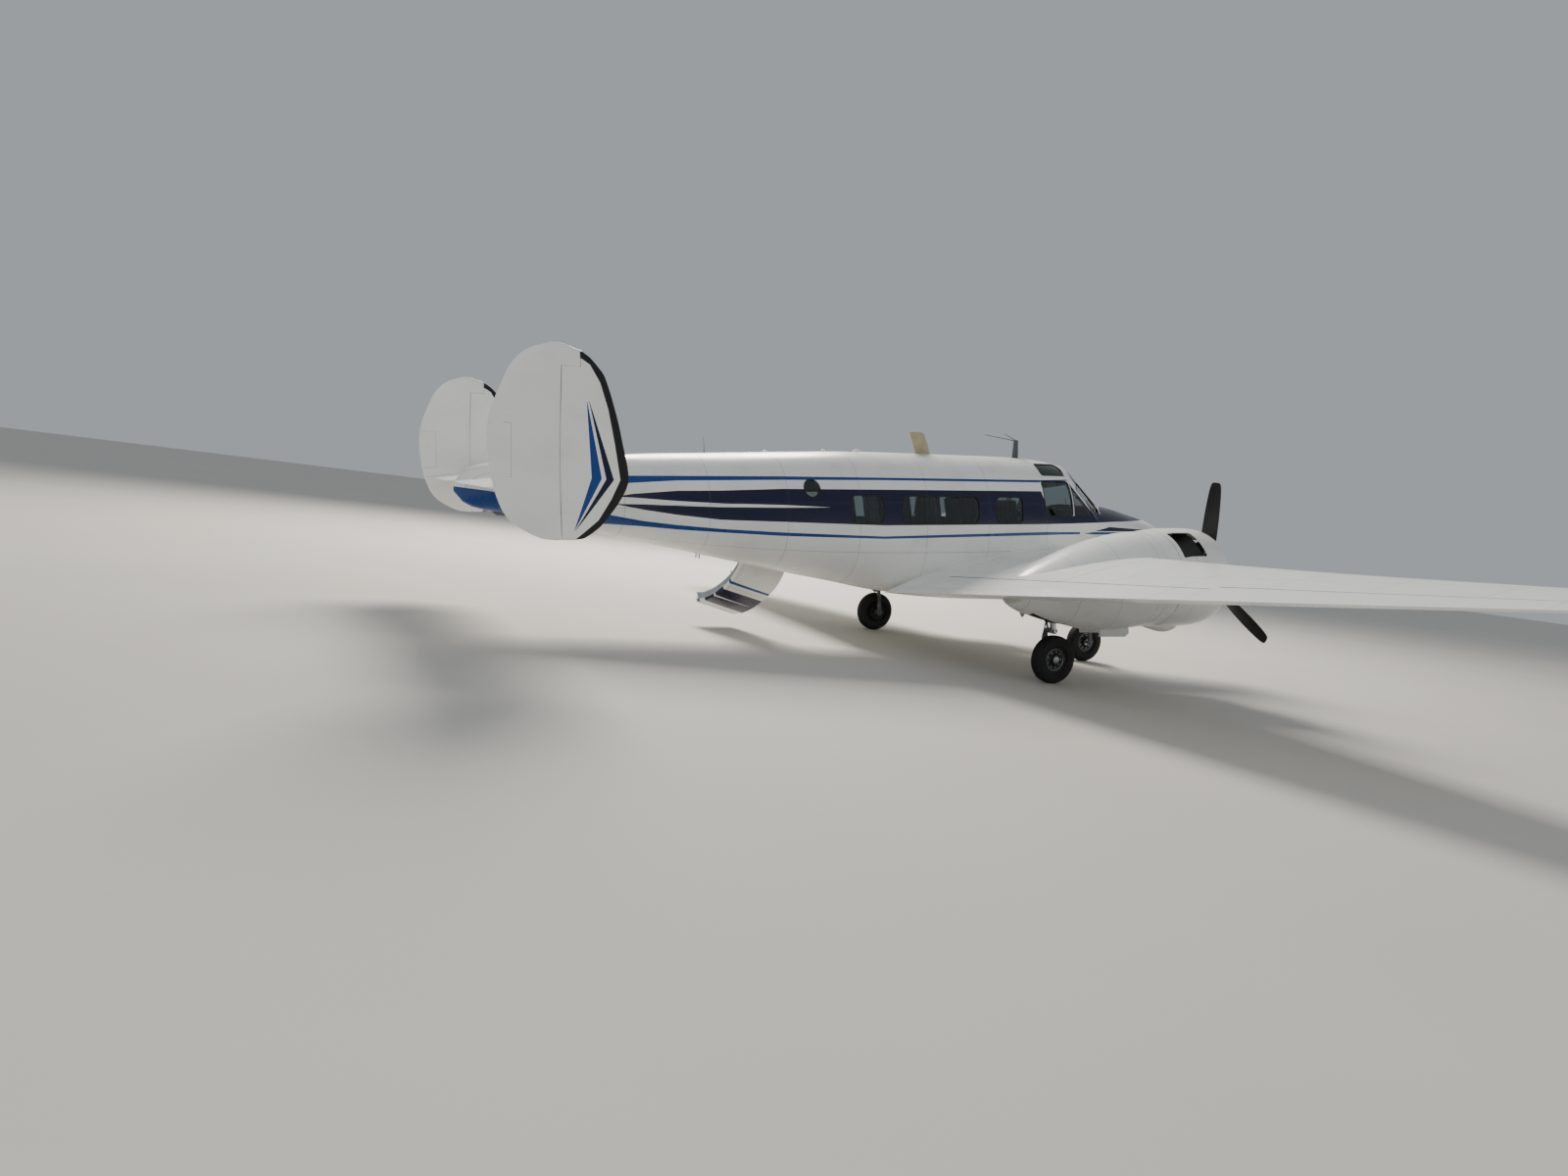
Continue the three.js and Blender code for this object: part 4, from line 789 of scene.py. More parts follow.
def round_box(s0, s1, z0, z1, r, grow=0.0, corner=8):
    """A rectangle with round corners, in side view, grown all round."""
    s0, s1, z0, z1, r = s0 - grow, s1 + grow, z0 - grow, z1 + grow, max(r + grow, 0.001)
    middles = [(s1 - r, z1 - r, 0), (s0 + r, z1 - r, 90), (s0 + r, z0 + r, 180), (s1 - r, z0 + r, 270)]
    out = []
    for cs, cz, start in middles:
        for i in range(corner + 1):
            a = math.radians(start + 90 * i / corner)
            out.append((cs + r * math.cos(a), cz + r * math.sin(a)))
    return out


def grown(points, by):
    """An outline of straight edges moved outward by a distance."""
    n, out = len(points), []
    area = sum(points[i][0] * points[(i + 1) % n][1] - points[(i + 1) % n][0] * points[i][1]
               for i in range(n))
    for i, (s, z) in enumerate(points):
        a, b = Vector(points[i - 1]), Vector(points[(i + 1) % n])
        p = Vector((s, z))
        u, v = (p - a).normalized(), (b - p).normalized()
        turn = 1 if area > 0 else -1
        m, k = Vector((u.y, -u.x)) * turn, Vector((v.y, -v.x)) * turn
        q = p + (m + k) * (by / (1 + m.dot(k)))
        out.append((q.x, q.y))
    return out


PANE_CORNERS = [(0.058, 0.038), (0.545, 0.038), (0.742, 0.520), (0.272, 0.640)]


def screen_pane(grow, low, high):
    """The starboard pane's outline in the windscreen's plane, as a slab between two depths."""
    corners = grown(PANE_CORNERS, grow)
    return loft([[on_pane(up, out, off) for up, out in corners] for off in (low, high)])


# %% Nose and cockpit
nose = hull(NOSE, 0.060, NOSE_END, step=0.055)
tip = loft([hull_ring(NOSE, s) for s in (0, 0.008, 0.020, 0.038, 0.062)])
piece("nose_skin", join(nose, tip), fuselage_paint, instead="nose_section")

side_openings = [round_box(**SIDE_WINDOW), QUARTER, round_box(**EYEBROW)]
FAR = 1.2


def both_sides(outline_points, y0=0.15):
    out = prism(outline_points, y0, FAR)
    return [out, mirrored(out)]


cockpit_outer = join(deck_hull(0), canopy_hull(0))
cockpit_inner = join(deck_hull(WALL), canopy_hull(WALL))
cockpit = cut(between(cockpit_outer, NOSE_END + SEAM_GAP, COCKPIT_END),
              between(cockpit_inner, NOSE_END + 0.06, 4))
screen_hole = screen_pane(0, -0.12, 0.06)
wheel_well = [block(1.690, 2.080, -0.130, 0.130, 0.700, 1.100),
              block(2.060, 2.260, -0.072, 0.072, 0.700, 1.000)]
cockpit = cut(cockpit, screen_hole, mirrored(screen_hole), *wheel_well)
for opening in side_openings:
    cockpit = cut(cockpit, *both_sides(opening))
piece("cockpit_skin", cockpit, fuselage_paint, instead="cockpit_shell")

# %% Cabin
DOOR_S, SILL, LINTEL = (6.420, 7.050), (1.196, 1.322), 2.385
DOOR = [
    (DOOR_S[0], SILL[0]), (DOOR_S[1], SILL[1]), (DOOR_S[1], 2.330), (6.995, LINTEL),
    (6.475, LINTEL), (DOOR_S[0], 2.330),
]
HINGE_Y = 0.470, 0.449
HINGE_A, HINGE_B = (at(*point) for point in zip(DOOR_S, HINGE_Y, SILL))
HINGE_WAY = (HINGE_B - HINGE_A).normalized()
DOOR_OPEN = 132
cabin_outer = hull(CABIN, COCKPIT_END, CABIN_END)
cabin_inner = hull(CABIN, COCKPIT_END - 0.05, CABIN_END + 0.05, WALL)
cabin = cut(between(cabin_outer, COCKPIT_END + SEAM_GAP, CABIN_END), cabin_inner)
for w in WINDOWS:
    cabin = cut(cabin, *both_sides(round_box(**w), 0.4))
cabin = cut(cabin, mirrored(prism(round_box(**PORTHOLE), 0.4, FAR)), prism(DOOR, 0.06, FAR))
piece("cabin_skin", cabin, fuselage_paint, instead="cabin_shell")

# %% Tail cone
tail_outer = hull(CABIN, CABIN_END + SEAM_GAP, TAIL_END)
tail = cut(tail_outer, hull(CABIN, CABIN_END - 0.05, 10.3, TAIL_WALL))
piece("tail_skin", tail, fuselage_paint, instead="tail_cone")
print("fuselage faces so far:", sum(len(o.data.polygons) for o in pieces.values()))

# %% [markdown]
# ## Windows
# The panes are 6 mm acrylic, held from inside by a frame, with a black rubber
# strip round the edge. Each pane is a bit of the hull itself, a few millimetres
# in, so that it follows the curve of the side as a blown pane does.

# %% Panes and seals
PANE_IN, PANE_DEEP = 0.006, 0.012
SEAL = 0.014


def hull_shell(make, outer, inner):
    """The shell between two insets of a hull."""
    return cut(make(outer), make(inner))


def cabin_solid(inset):
    return hull(CABIN, COCKPIT_END, CABIN_END, inset)


def glazed(make, outline_points, side, low):
    """One pane with its seal in an opening of the hull, on one side."""
    y0, y1 = (low, FAR) if side > 0 else (-FAR, -low)
    pane = meet(hull_shell(make, PANE_IN, PANE_DEEP), prism(grown(outline_points, 0.008), y0, y1))
    seal = cut(
        meet(hull_shell(make, -0.0015, PANE_IN + 0.002),
             prism(grown(outline_points, SEAL * 0.5), y0, y1)),
        prism(grown(outline_points, -SEAL * 0.5), y0, y1),
    )
    return pane, seal


glass_parts = {"cabin": {1: [], -1: []}, "cockpit": {1: [], -1: []}, "roof": []}
seal_parts = []
for side in (1, -1):
    for w in WINDOWS:
        pane, seal = glazed(cabin_solid, round_box(**w), side, low=0.4)
        glass_parts["cabin"][side].append(pane)
        seal_parts.append(seal)
pane, seal = glazed(cabin_solid, round_box(**PORTHOLE, corner=12), -1, low=0.3)
glass_parts["cabin"][-1].append(pane)
seal_parts.append(seal)
canopy_solid = {inset: canopy_hull(inset) for inset in (-0.0015, PANE_IN, PANE_IN + 0.002, PANE_DEEP)}
for side in (1, -1):
    for opening in side_openings:
        pane, seal = glazed(canopy_solid.get, opening, side, low=0.12)
        group = glass_parts["roof"] if opening is side_openings[2] else glass_parts["cockpit"][side]
        group.append(pane)
        seal_parts.append(seal)
for word, side in SIDES.items():
    piece(f"cabin_panes_{word}", together(*glass_parts["cabin"][side]), window_acrylic,
          instead=f"cabin_glazing_{word}")
    piece(f"cockpit_panes_{word}", together(*glass_parts["cockpit"][side]), window_acrylic,
          instead=f"cockpit_glazing_{word}")
piece("eyebrow_panes", together(*glass_parts["roof"]), eyebrow_acrylic)

# %% Windscreen
for side, word in ((-1, "right"), (1, "left")):
    pane = screen_pane(0.008, -PANE_DEEP, -PANE_IN)
    frame_ring = cut(screen_pane(0.010, -0.010, 0.004), screen_pane(-0.012, -0.02, 0.02))
    if side > 0:
        pane, frame_ring = mirrored(pane), mirrored(frame_ring)
    piece(f"windscreen_pane_{word}", pane, window_acrylic, instead=f"windscreen_{word}")
    seal_parts.append(frame_ring)
piece("window_seals", together(*seal_parts), seal_rubber)
print("window seals:", len(pieces["window_seals"].data.polygons), "faces")

# %% [markdown]
# ## Wing sections
# The wing uses an old and gentle aerofoil with its camber well forward. The
# sections are stacked along the span by a few rules: chord, thickness and
# twist shrink evenly to the tip, and the trailing edge climbs by 6 degrees.
# Near the fuselage each section grows into a fillet.

# %% Aerofoils
CAMBER_END = 0.2025
CAMBER = 15.957 / 6


def half_thickness(x):
    """The usual polynomial for half the thickness of a four-digit aerofoil."""
    return 0.2969 * math.sqrt(x) - 0.126 * x - 0.3516 * x**2 + 0.2843 * x**3 - 0.1036 * x**4


def foil_ring(te, chord, thick, incidence=0.0, camber=1.0, axis="y", grow=0.0, count=26):
    """A section; te is its trailing edge as (s, y, z), and its chord runs forward."""
    c, d = math.cos(math.radians(incidence)), math.sin(math.radians(incidence))
    out = []
    for i in range(2 * count - 1):
        x = (1 + math.cos(math.pi * (i if i < count else 2 * count - 2 - i) / (count - 1))) / 2
        side = 1 if i < count else -1
        half = 5 * thick * chord * half_thickness(x) + 0.002 * x + (grow if x > 0 else 0)
        m = CAMBER_END
        line = x**3 - 3 * m * x**2 + m * m * (3 - m) * x if x < m else m**3 * (1 - x)
        forward = (1 - x) * (chord + 2 * grow) - grow
        up = CAMBER * camber * line * chord + side * half
        f, h = forward * c - up * d, forward * d + up * c
        s, y, z = te
        out.append(at(s, y, z) + (Vector((f, 0, h)) if axis == "y" else Vector((f, up, 0))))
    return out


WING = table("y aft swell fit", [
    [0.280, -0.300, 1.42, 1],
    [0.500, -0.060, 1.40, 1],
    [0.600, 0.030, 1.26, 1],
    [0.690, 0.030, 1.13, 1],
    [0.790, 0.010, 1.05, 1],
    [0.920, 0, 1, 1],
    [2.600, 0, 1, 1],
    [4.900, 0, 1, 1],
    [7.250, 0, 1, 1],
    [7.500, 0, 0.86, 0.90],
    [7.562, 0, 0.55, 0.74],
    [7.570, 0, 0.30, 0.66],
])
SPAN_HALF, ROOT_CHORD, TIP_CHORD = 7.570, 3.360, 1.070
DIHEDRAL = math.tan(math.radians(6))


def chord_at(y):
    return ROOT_CHORD - (ROOT_CHORD - TIP_CHORD) * y / SPAN_HALF


def te_at(y):
    return 5.680 - 0.12 * y, y, 0.870 + DIHEDRAL * y


def thick_at(y):
    return 0.2 - 0.08 * y / SPAN_HALF


def twist_at(y):
    return 4 - 4 * y / SPAN_HALF


def wing_ring(y, grow=0.0):
    aft, swell, fit = (along(WING, "y", k, y) for k in ("aft", "swell", "fit"))
    chord = chord_at(y)
    s, _, z = te_at(y)
    back = 0.55 * chord * (1 - fit)
    te = (s + aft - back, y, z + back * math.sin(math.radians(twist_at(y))))
    thick = thick_at(y) * chord / (chord * fit + aft)
    swollen = foil_ring(te, chord * fit + aft, thick * swell, twist_at(y), grow=grow)
    plain = foil_ring(te, chord * fit + aft, thick * min(swell, 1), twist_at(y), grow=grow)
    return [p if p.z >= q.z else q for p, q in zip(swollen, plain)]


def wing_point(y, x, up=0.0):
    """A point over the chord line at a fraction of the chord from the nose."""
    s, _, z = te_at(y)
    f, a = (1 - x) * chord_at(y), math.radians(twist_at(y))
    return at(s - f * math.cos(a), y, z + f * math.sin(a) + up)


def nose_radius(y, x):
    return 5 * half_thickness(x) * thick_at(y) * chord_at(y) * 1.02 + 0.002


SECTIONS = steps(0.28, 0.92, 0.05) + steps(1.5, 7.25, 0.6)
SECTIONS += [7.30, 7.36, 7.42, 7.47, 7.50, 7.53, 7.55, 7.562, 7.570]
wing = loft([wing_ring(y) for y in SECTIONS])
print("wing:", len(SECTIONS), "sections, chord", round(chord_at(1), 2), "m at 1 m from the middle")

# %% [markdown]
# ## Flaps and ailerons
# A hinged surface is what lies behind a line from one hinge to another, with
# a round nose about that line, so that it turns in its cove without opening a
# gap. Its ends are square to the hinge line, for the same reason.


# %% Hinged surfaces
def hinged(body, a, b, nose_a, nose_b, gap, ends=0.006, past=0.08):
    """The moving surface and the cove it turns in."""
    way = (b - a).normalized()
    taper = (nose_b - nose_a) / (b - a).length * past

    def stretch(grow):
        ends_of = ((a - way * past, nose_a + grow - taper), (b + way * past, nose_b + grow + taper))
        nose_bar = tube([p for p, _ in ends_of], [r for _, r in ends_of], 72)
        corners = [
            [p + Vector(v) for v in ((0, 0, -r), (0, 0, r), (-1.4, 0, 0.4), (-1.4, 0, -0.4))]
            for p, r in ends_of
        ]
        return join(nose_bar, loft(corners))

    def between_ends(mesh, inset):
        return trimmed(trimmed(mesh, a + way * inset, -way), b - way * inset, way)

    return between_ends(meet(body, stretch(0)), ends), between_ends(stretch(gap), 0)


FLAP_Y, FLAP_X = (0.960, 4.560), 0.80
AILERON_Y, AILERON_X = (4.600, 7.240), 0.76
HINGE_GAP = 0.0055
flap_hinge = [wing_point(y, FLAP_X, 0.008) for y in FLAP_Y]
aileron_hinge = [wing_point(y, AILERON_X, 0.008) for y in AILERON_Y]
flap, flap_hole = hinged(wing, *flap_hinge, *(nose_radius(y, FLAP_X) for y in FLAP_Y), HINGE_GAP)
aileron_nose = [nose_radius(y, AILERON_X) for y in AILERON_Y]
aileron, aileron_hole = hinged(wing, *aileron_hinge, *aileron_nose, HINGE_GAP)


def mixed(a, b, t):
    return a + (b - a) * t


def bracket(y, spread, hinge, x):
    """A hinge bracket between the rear spar and the nose of a flap or aileron."""
    t = (y - spread[0]) / (spread[1] - spread[0])
    nose_r = mixed(nose_radius(spread[0], x), nose_radius(spread[1], x), t)
    p = mixed(hinge[0], hinge[1], t)
    s = MAIN_S - p.x - nose_r
    return block(s - 0.040, s - 0.001, y - 0.008, y + 0.008, p.z - 0.008, p.z + 0.008)


inner_hull = join(deck_hull(0.02), canopy_hull(0.02), hull(CABIN, 3.35, CABIN_END, 0.02))
wing_brackets = [bracket(y, FLAP_Y, flap_hinge, FLAP_X) for y in (1.2, 2.5, 2.9, 4.4)]
wing_brackets += [bracket(y, AILERON_Y, aileron_hinge, AILERON_X) for y in (4.8, 7.0)]
fixed_wing = join(cut(wing, flap_hole, aileron_hole, inner_hull), *wing_brackets)
JOINT_Y = 2.700
joint_cover = cut(loft([
    foil_ring(te_at(y), chord_at(y), thick_at(y), twist_at(y), grow=0.0025)
    for y in (JOINT_Y - 0.035, JOINT_Y + 0.035)
]), flap_hole)
fabric_wing_paint = enamel("white_dope_on_fabric", ribs=("y", 0.19), dirt=0.22)
wing_skin = join(fixed_wing, joint_cover)
for word, side in SIDES.items():
    piece(f"wing_skin_{word}", on_side(wing_skin, side), wing_paint,
          instead=(f"centre_wing_{word}", f"outer_wing_{word}"))
    piece(f"flap_skin_{word}", on_side(flap, side), wing_paint, f"flap_{word}", f"flap_{word}")
    piece(f"aileron_skin_{word}", on_side(aileron, side), fabric_wing_paint, f"aileron_{word}",
          f"aileron_{word}")
print("flap hinge at", [round(v, 3) for v in flap_hinge[0]])

# %% [markdown]
# ## Nacelles
# Each engine nacelle is an oval body that grows out of the wing. Its belly
# is a wheel well, whose two doors hang open along its sides.

# %% Nacelles
NACELLE_Y = 1.970
ENGINE_Z = 1.189
NACELLE = table(HULL, [
    [2.790, 0.548, 1.737, 0.641, 1.189, 2, 2],
    [2.880, 0.560, 1.752, 0.628, 1.188, 2, 2.05],
    [3.240, 0.556, 1.738, 0.606, 1.185, 2, 2.2],
    [3.620, 0.528, 1.672, 0.606, 1.176, 2, 2.3],
    [3.960, 0.484, 1.578, 0.640, 1.160, 2, 2.3],
    [4.300, 0.420, 1.452, 0.716, 1.140, 2, 2.2],
    [4.600, 0.330, 1.333, 0.812, 1.118, 2, 2.1],
    [4.800, 0.230, 1.228, 0.900, 1.104, 2, 2],
    [4.890, 0.130, 1.195, 0.968, 1.100, 2, 2],
    [4.925, 0.050, 1.150, 1.040, 1.098, 2, 2],
])
WELL = dict(s0=3.420, s1=4.640, half=0.150)
flap_room = []
for y in (1.4, 2.6):
    t = (y - FLAP_Y[0]) / (FLAP_Y[1] - FLAP_Y[0])
    p = mixed(flap_hinge[0], flap_hinge[1], t)
    r = (nose_radius(y, FLAP_X) + 0.012) * math.sin(math.radians(45))
    flap_room.append([p, p + Vector((r, 0, -r)), p + Vector((r - 0.9, 0, -r - 0.9)),
                      p - Vector((0.9, 0, 0))])
nacelle_stations = steps(2.790, 4.6, 0.07) + steps(4.64, 4.86, 0.03)
nacelle_stations += [4.88, 4.89, 4.90, 4.91, 4.918, 4.925]
nacelle = loft([hull_ring(NACELLE, s, count=96, y=NACELLE_Y) for s in nacelle_stations])
WELL_DOOR = [(3.200, 0.640), (3.650, 0.640), (3.640, 0.540), (3.245, 0.520), (3.190, 0.560)]
WELL_DOORS_Y = ((0.150, 0.172), (-0.172, -0.150))
well_doors = [prism(WELL_DOOR, NACELLE_Y + a, NACELLE_Y + b) for a, b in WELL_DOORS_Y]
well = block(WELL["s0"], WELL["s1"], NACELLE_Y - WELL["half"], NACELLE_Y + WELL["half"], 0.3, 1.1)
nacelle = cut(join(nacelle, *well_doors), well, flap_hole, loft(flap_room))
for word, side in SIDES.items():
    piece(f"nacelle_skin_{word}", on_side(nacelle, side), nacelle_paint,
          instead=f"nacelle_{word}")

# %% [markdown]
# ## Cowlings
# A ring of sheet with a rolled lip guides the air through the cylinders. It
# is turned like a pot. On the starboard one a hatch stands open, as in the
# photograph, and shows the engine.

# %% Cowlings
COWL = [
    (1.962, 0.452), (1.953, 0.464), (1.951, 0.478), (1.956, 0.498), (1.968, 0.522), (1.986, 0.541),
    (2.010, 0.556), (2.050, 0.573), (2.100, 0.586), (2.190, 0.596), (2.300, 0.600), (2.620, 0.600),
    (2.720, 0.594), (2.800, 0.584), (2.800, 0.580), (2.620, 0.594), (2.300, 0.593), (2.110, 0.579),
    (2.016, 0.545), (1.984, 0.500), (1.972, 0.470),
]
HATCH_S, HATCH_OUT, HATCH_UP = (2.370, 2.744), (0.205, 0.515), (0.280, 0.700)


def about_engine(rows, sides):
    """A closed profile of (station, radius) rows turned about the port engine's axis."""
    return turned([(MAIN_S - s, r) for s, r in rows], (0, NACELLE_Y, ENGINE_Z), sides=sides)


cowling = about_engine(COWL, 96)
hatch_sides = [NACELLE_Y + v for v in HATCH_OUT] + [ENGINE_Z + v for v in HATCH_UP]
hatch = block(*HATCH_S, *hatch_sides, edge=0.02)
for word, side in SIDES.items():
    shell = cowling if side > 0 else mirrored(cut(cowling, hatch))
    piece(f"cowling_skin_{word}", shell, nacelle_paint, instead=f"cowling_{word}")
print("cowling", round(2 * max(r for _, r in COWL), 2), "m across")

# %% [markdown]
# ## Engines
# Nine cylinders stand like spokes round a crankcase. Cast fins carry the
# heat away: they are the texture one sees through the cowling's mouth. Real
# fins are 3 to 4 mm apart, and drawn 11 mm apart so that they show.

# %% Engine
FIN_PITCH, CYLINDER_COUNT, CYLINDER_S = 0.011, 9, 2.300
CYLINDER_ANGLES = [i * 360 // CYLINDER_COUNT for i in range(CYLINDER_COUNT)]


def radial(angle, r, s, side=0.0):
    """A point of the engine at an angle from up, a radius and a station."""
    a = math.radians(angle)
    return at(s, NACELLE_Y + r * math.sin(a) + side * math.cos(a),
              ENGINE_Z + r * math.cos(a) - side * math.sin(a))


# Where a cylinder's barrel and head start, and where its head ends, from the engine's axis.
BARREL_FOOT, HEAD_FOOT, HEAD_TOP = 0.200, 0.40, 0.545
BARREL_CORE_R, BARREL_FIN_R, HEAD_CORE_R, HEAD_FIN_R = 0.070, 0.083, 0.066, 0.090
FIN_EDGE, FIN_THICK = 0.0005, 0.005


def cylinder(angle):
    """One cylinder: a bar whose radius steps out to each fin, with smaller fins near the top."""
    r, path, radii = BARREL_FOOT, [], []
    while r < HEAD_TOP:
        core, fin = BARREL_CORE_R, BARREL_FIN_R
        if r > HEAD_FOOT:
            core, fin = HEAD_CORE_R, HEAD_FIN_R - 0.03 * ((r - HEAD_FOOT) / 0.15) ** 2
        for dr, rad in ((0, core), (FIN_EDGE, fin), (FIN_THICK - FIN_EDGE, fin), (FIN_THICK, core)):
            path.append(radial(angle, r + dr, CYLINDER_S))
            radii.append(rad)
        r += FIN_PITCH
    path.append(radial(angle, HEAD_TOP + 0.007, CYLINDER_S))
    radii.append(0.050)
    return tube(path, radii, 28)


cylinders = [cylinder(angle) for angle in CYLINDER_ANGLES]
rocker_boxes, push_rods, plugs = [], [], []
ROCKER_S = 2.262
for angle in CYLINDER_ANGLES:
    for out in (-0.052, 0.052):
        box = [radial(angle, 0.500, ROCKER_S, out * 0.9), radial(angle, 0.557, ROCKER_S - 0.006, out)]
        rod = [radial(angle, 0.225, 2.150, out * 0.6), radial(angle, 0.520, ROCKER_S - 0.020, out)]
        rocker_boxes.append(tube(box, [0.026, 0.020], 14))
        push_rods.append(tube(rod, 0.0085, 10))
    plugs.append(tube([radial(angle, 0.470, 2.215), radial(angle, 0.470, 2.185)], [0.011, 0.009], 8))
CASE = [
    (1.924, 0.0), (1.924, 0.070), (1.935, 0.078), (1.975, 0.120), (2.040, 0.150), (2.062, 0.158),
    (2.066, 0.178), (2.085, 0.214), (2.110, 0.224), (2.150, 0.232), (2.345, 0.232), (2.350, 0.300),
    (2.620, 0.290), (2.7895, 0.260), (2.7895, 0.0),
]
case = about_engine(CASE, 64)
case_bolts = [
    tube([radial(a, 0.192, 2.082), radial(a, 0.192, 2.060)], 0.0075, 6) for a in range(0, 360, 15)
]
baffle = about_engine([(2.352, 0.31), (2.352, 0.545), (2.362, 0.545), (2.362, 0.31)], 72)
BAFFLE_S, BAFFLE_R = 2.330, (0.24, 0.42, 0.545)


def baffle_between(angle):
    """A strip of sheet that closes the room between two cylinders."""
    return loft([
        [radial(angle + w, r, BAFFLE_S) for r in BAFFLE_R]
        + [radial(angle + w, r, BAFFLE_S + 0.004) for r in reversed(BAFFLE_R)]
        for w in (-5, 0, 5)
    ])


HARNESS_S, HARNESS_R, HARNESS_THICK = 2.130, 0.262, 0.011


def spark_lead(angle):
    way = [radial(angle, HARNESS_R, HARNESS_S), radial(angle + 4, 0.36, 2.145),
           radial(angle, 0.470, 2.190)]
    return tube(bend(way, 5), 0.0045, 8)


baffles = [baffle_between(angle + 20) for angle in CYLINDER_ANGLES]
harness = about_engine(
    [(HARNESS_S - HARNESS_THICK * math.cos(a), HARNESS_R + HARNESS_THICK * math.sin(a))
     for a in round_angles(10)], 72,
)
leads = [spark_lead(angle) for angle in CYLINDER_ANGLES]
carriers = [
    block(2.400, 2.450, NACELLE_Y - 0.014, NACELLE_Y + 0.014, ENGINE_Z + a, ENGINE_Z + b)
    for a, b in ((0.500, 0.592), (-0.592, -0.500))
]
rear_core = about_engine(
    [(2.363, 0.300), (2.363, 0.540), (2.420, 0.500), (2.590, 0.460), (2.620, 0.330), (2.788, 0.300)],
    48,
)
for word, side in SIDES.items():
    piece(f"engine_cylinders_{word}", on_side(together(*cylinders), side), cast_iron,
          instead=f"engine_{word}", sharp=50)
    piece(f"engine_case_{word}", on_side(together(case, *case_bolts, *rocker_boxes), side), grey_case)
    piece(f"engine_rods_{word}", on_side(together(*push_rods, *plugs, *carriers), side), bright_metal)
    piece(f"engine_baffles_{word}", on_side(together(baffle, rear_core, *baffles), side), soot)
    piece(f"engine_harness_{word}", on_side(together(harness, *leads), side), bright_metal)
print("engine:", len(pieces["engine_cylinders_left"].data.polygons), "faces in nine cylinders")

# %% [markdown]
# ## Propellers
# Three forged blades turn in steel barrels on a hub with a dome in front,
# which holds the piston that changes their pitch. A blade is an aerofoil that
# is steep and round at the root, and flat and thin at the tip.

# %% Propeller
PROP_S, PROP_R = 1.818, 1.170
FIRST_BLADE = {"left": 30.0, "right": 4.2}
BLADE_COLUMNS = "r chord thick pitch round"
BLADE = table(BLADE_COLUMNS, [
    [0.060, 0.084, 0.084, 62, 1.00],
    [0.150, 0.088, 0.080, 58, 1.00],
    [0.250, 0.140, 0.044, 42, 0.45],
    [0.450, 0.184, 0.027, 28, 0],
    [0.800, 0.186, 0.016, 16, 0],
    [1.060, 0.156, 0.011, 12, 0],
    [1.140, 0.126, 0.008, 11, 0],
    [1.162, 0.096, 0.006, 11, 0],
    [1.170, 0.060, 0.004, 11, 0],
])


def blade_ring(r, count=20):
    """A section of a blade that stands up from the hub, at a radius."""
    chord, thick, pitch, rounded = (along(BLADE, "r", k, r) for k in BLADE_COLUMNS.split()[1:])
    c, d = math.cos(math.radians(pitch)), math.sin(math.radians(pitch))
    ring = []
    for a in round_angles(count):
        u = chord / 2 * math.cos(a)
        flat = 1 - 0.55 * (1 - rounded) if math.sin(a) < 0 else 1
        v = thick / 2 * math.sin(a) * flat * (1 + 0.25 * (1 - rounded) * math.cos(a))
        ring.append(Vector((u * d + v * c, v * d - u * c, r)))
    return ring


def prop_axis(angle):
    return Matrix.Rotation(math.radians(angle), 4, "X")


BLADE_STATIONS = steps(0.06, 0.25, 0.03) + steps(0.29, 1.06, 0.06)
BLADE_STATIONS += [1.09, 1.12, 1.14, 1.153, 1.162, 1.167, 1.170]
blade = loft([blade_ring(r) for r in BLADE_STATIONS])
HUB = [
    (-0.105, 0), (-0.105, 0.082), (-0.060, 0.096), (0.040, 0.096), (0.058, 0.092), (0.074, 0.070),
    (0.082, 0.066), (0.150, 0.066), (0.160, 0.063), (0.185, 0.052), (0.198, 0.036), (0.205, 0.016),
    (0.206, 0),
]
hub = turned(HUB, (0, 0, 0), sides=48)
COLLAR = [(0.03, 0.118, 0.060, 0.060), (0.118, 0.128, 0.064, 0.064), (0.128, 0.150, 0.060, 0.056)]
collar = [tube([(0, 0, r0), (0, 0, r1)], [a, b], 32) for r0, r1, a, b in COLLAR]
clamp_bolts = [tube([(-0.02, s * 0.068, r), (0.02, s * 0.068, r)], 0.008, 8) for s in (-1, 1)
               for r in (0.075, 0.110)]
for word, side in SIDES.items():
    centre = Matrix.Translation(at(PROP_S, side * NACELLE_Y, ENGINE_Z))
    turns = [centre @ prop_axis(FIRST_BLADE[word] + a) for a in (0, 120, 240)]
    arms = [moved(together(*collar, *clamp_bolts), turn) for turn in turns]
    blades = [moved(blade, turn) for turn in turns]
    piece(f"propeller_blades_{word}", together(*blades), prop_paint, f"propeller_{word}",
          f"propeller_{word}")
    piece(f"propeller_hub_{word}", together(moved(hub, centre), *arms), steel_paint,
          f"propeller_{word}")
print("propeller", 2 * PROP_R, "m across")

# %% [markdown]
# ## Fins and rudders
# Two oval fins stand at the ends of the tailplane, in the wash of the
# propellers. Their noses wear black rubber boots that swell to break ice off.
# The rudders are light frames covered with doped fabric.

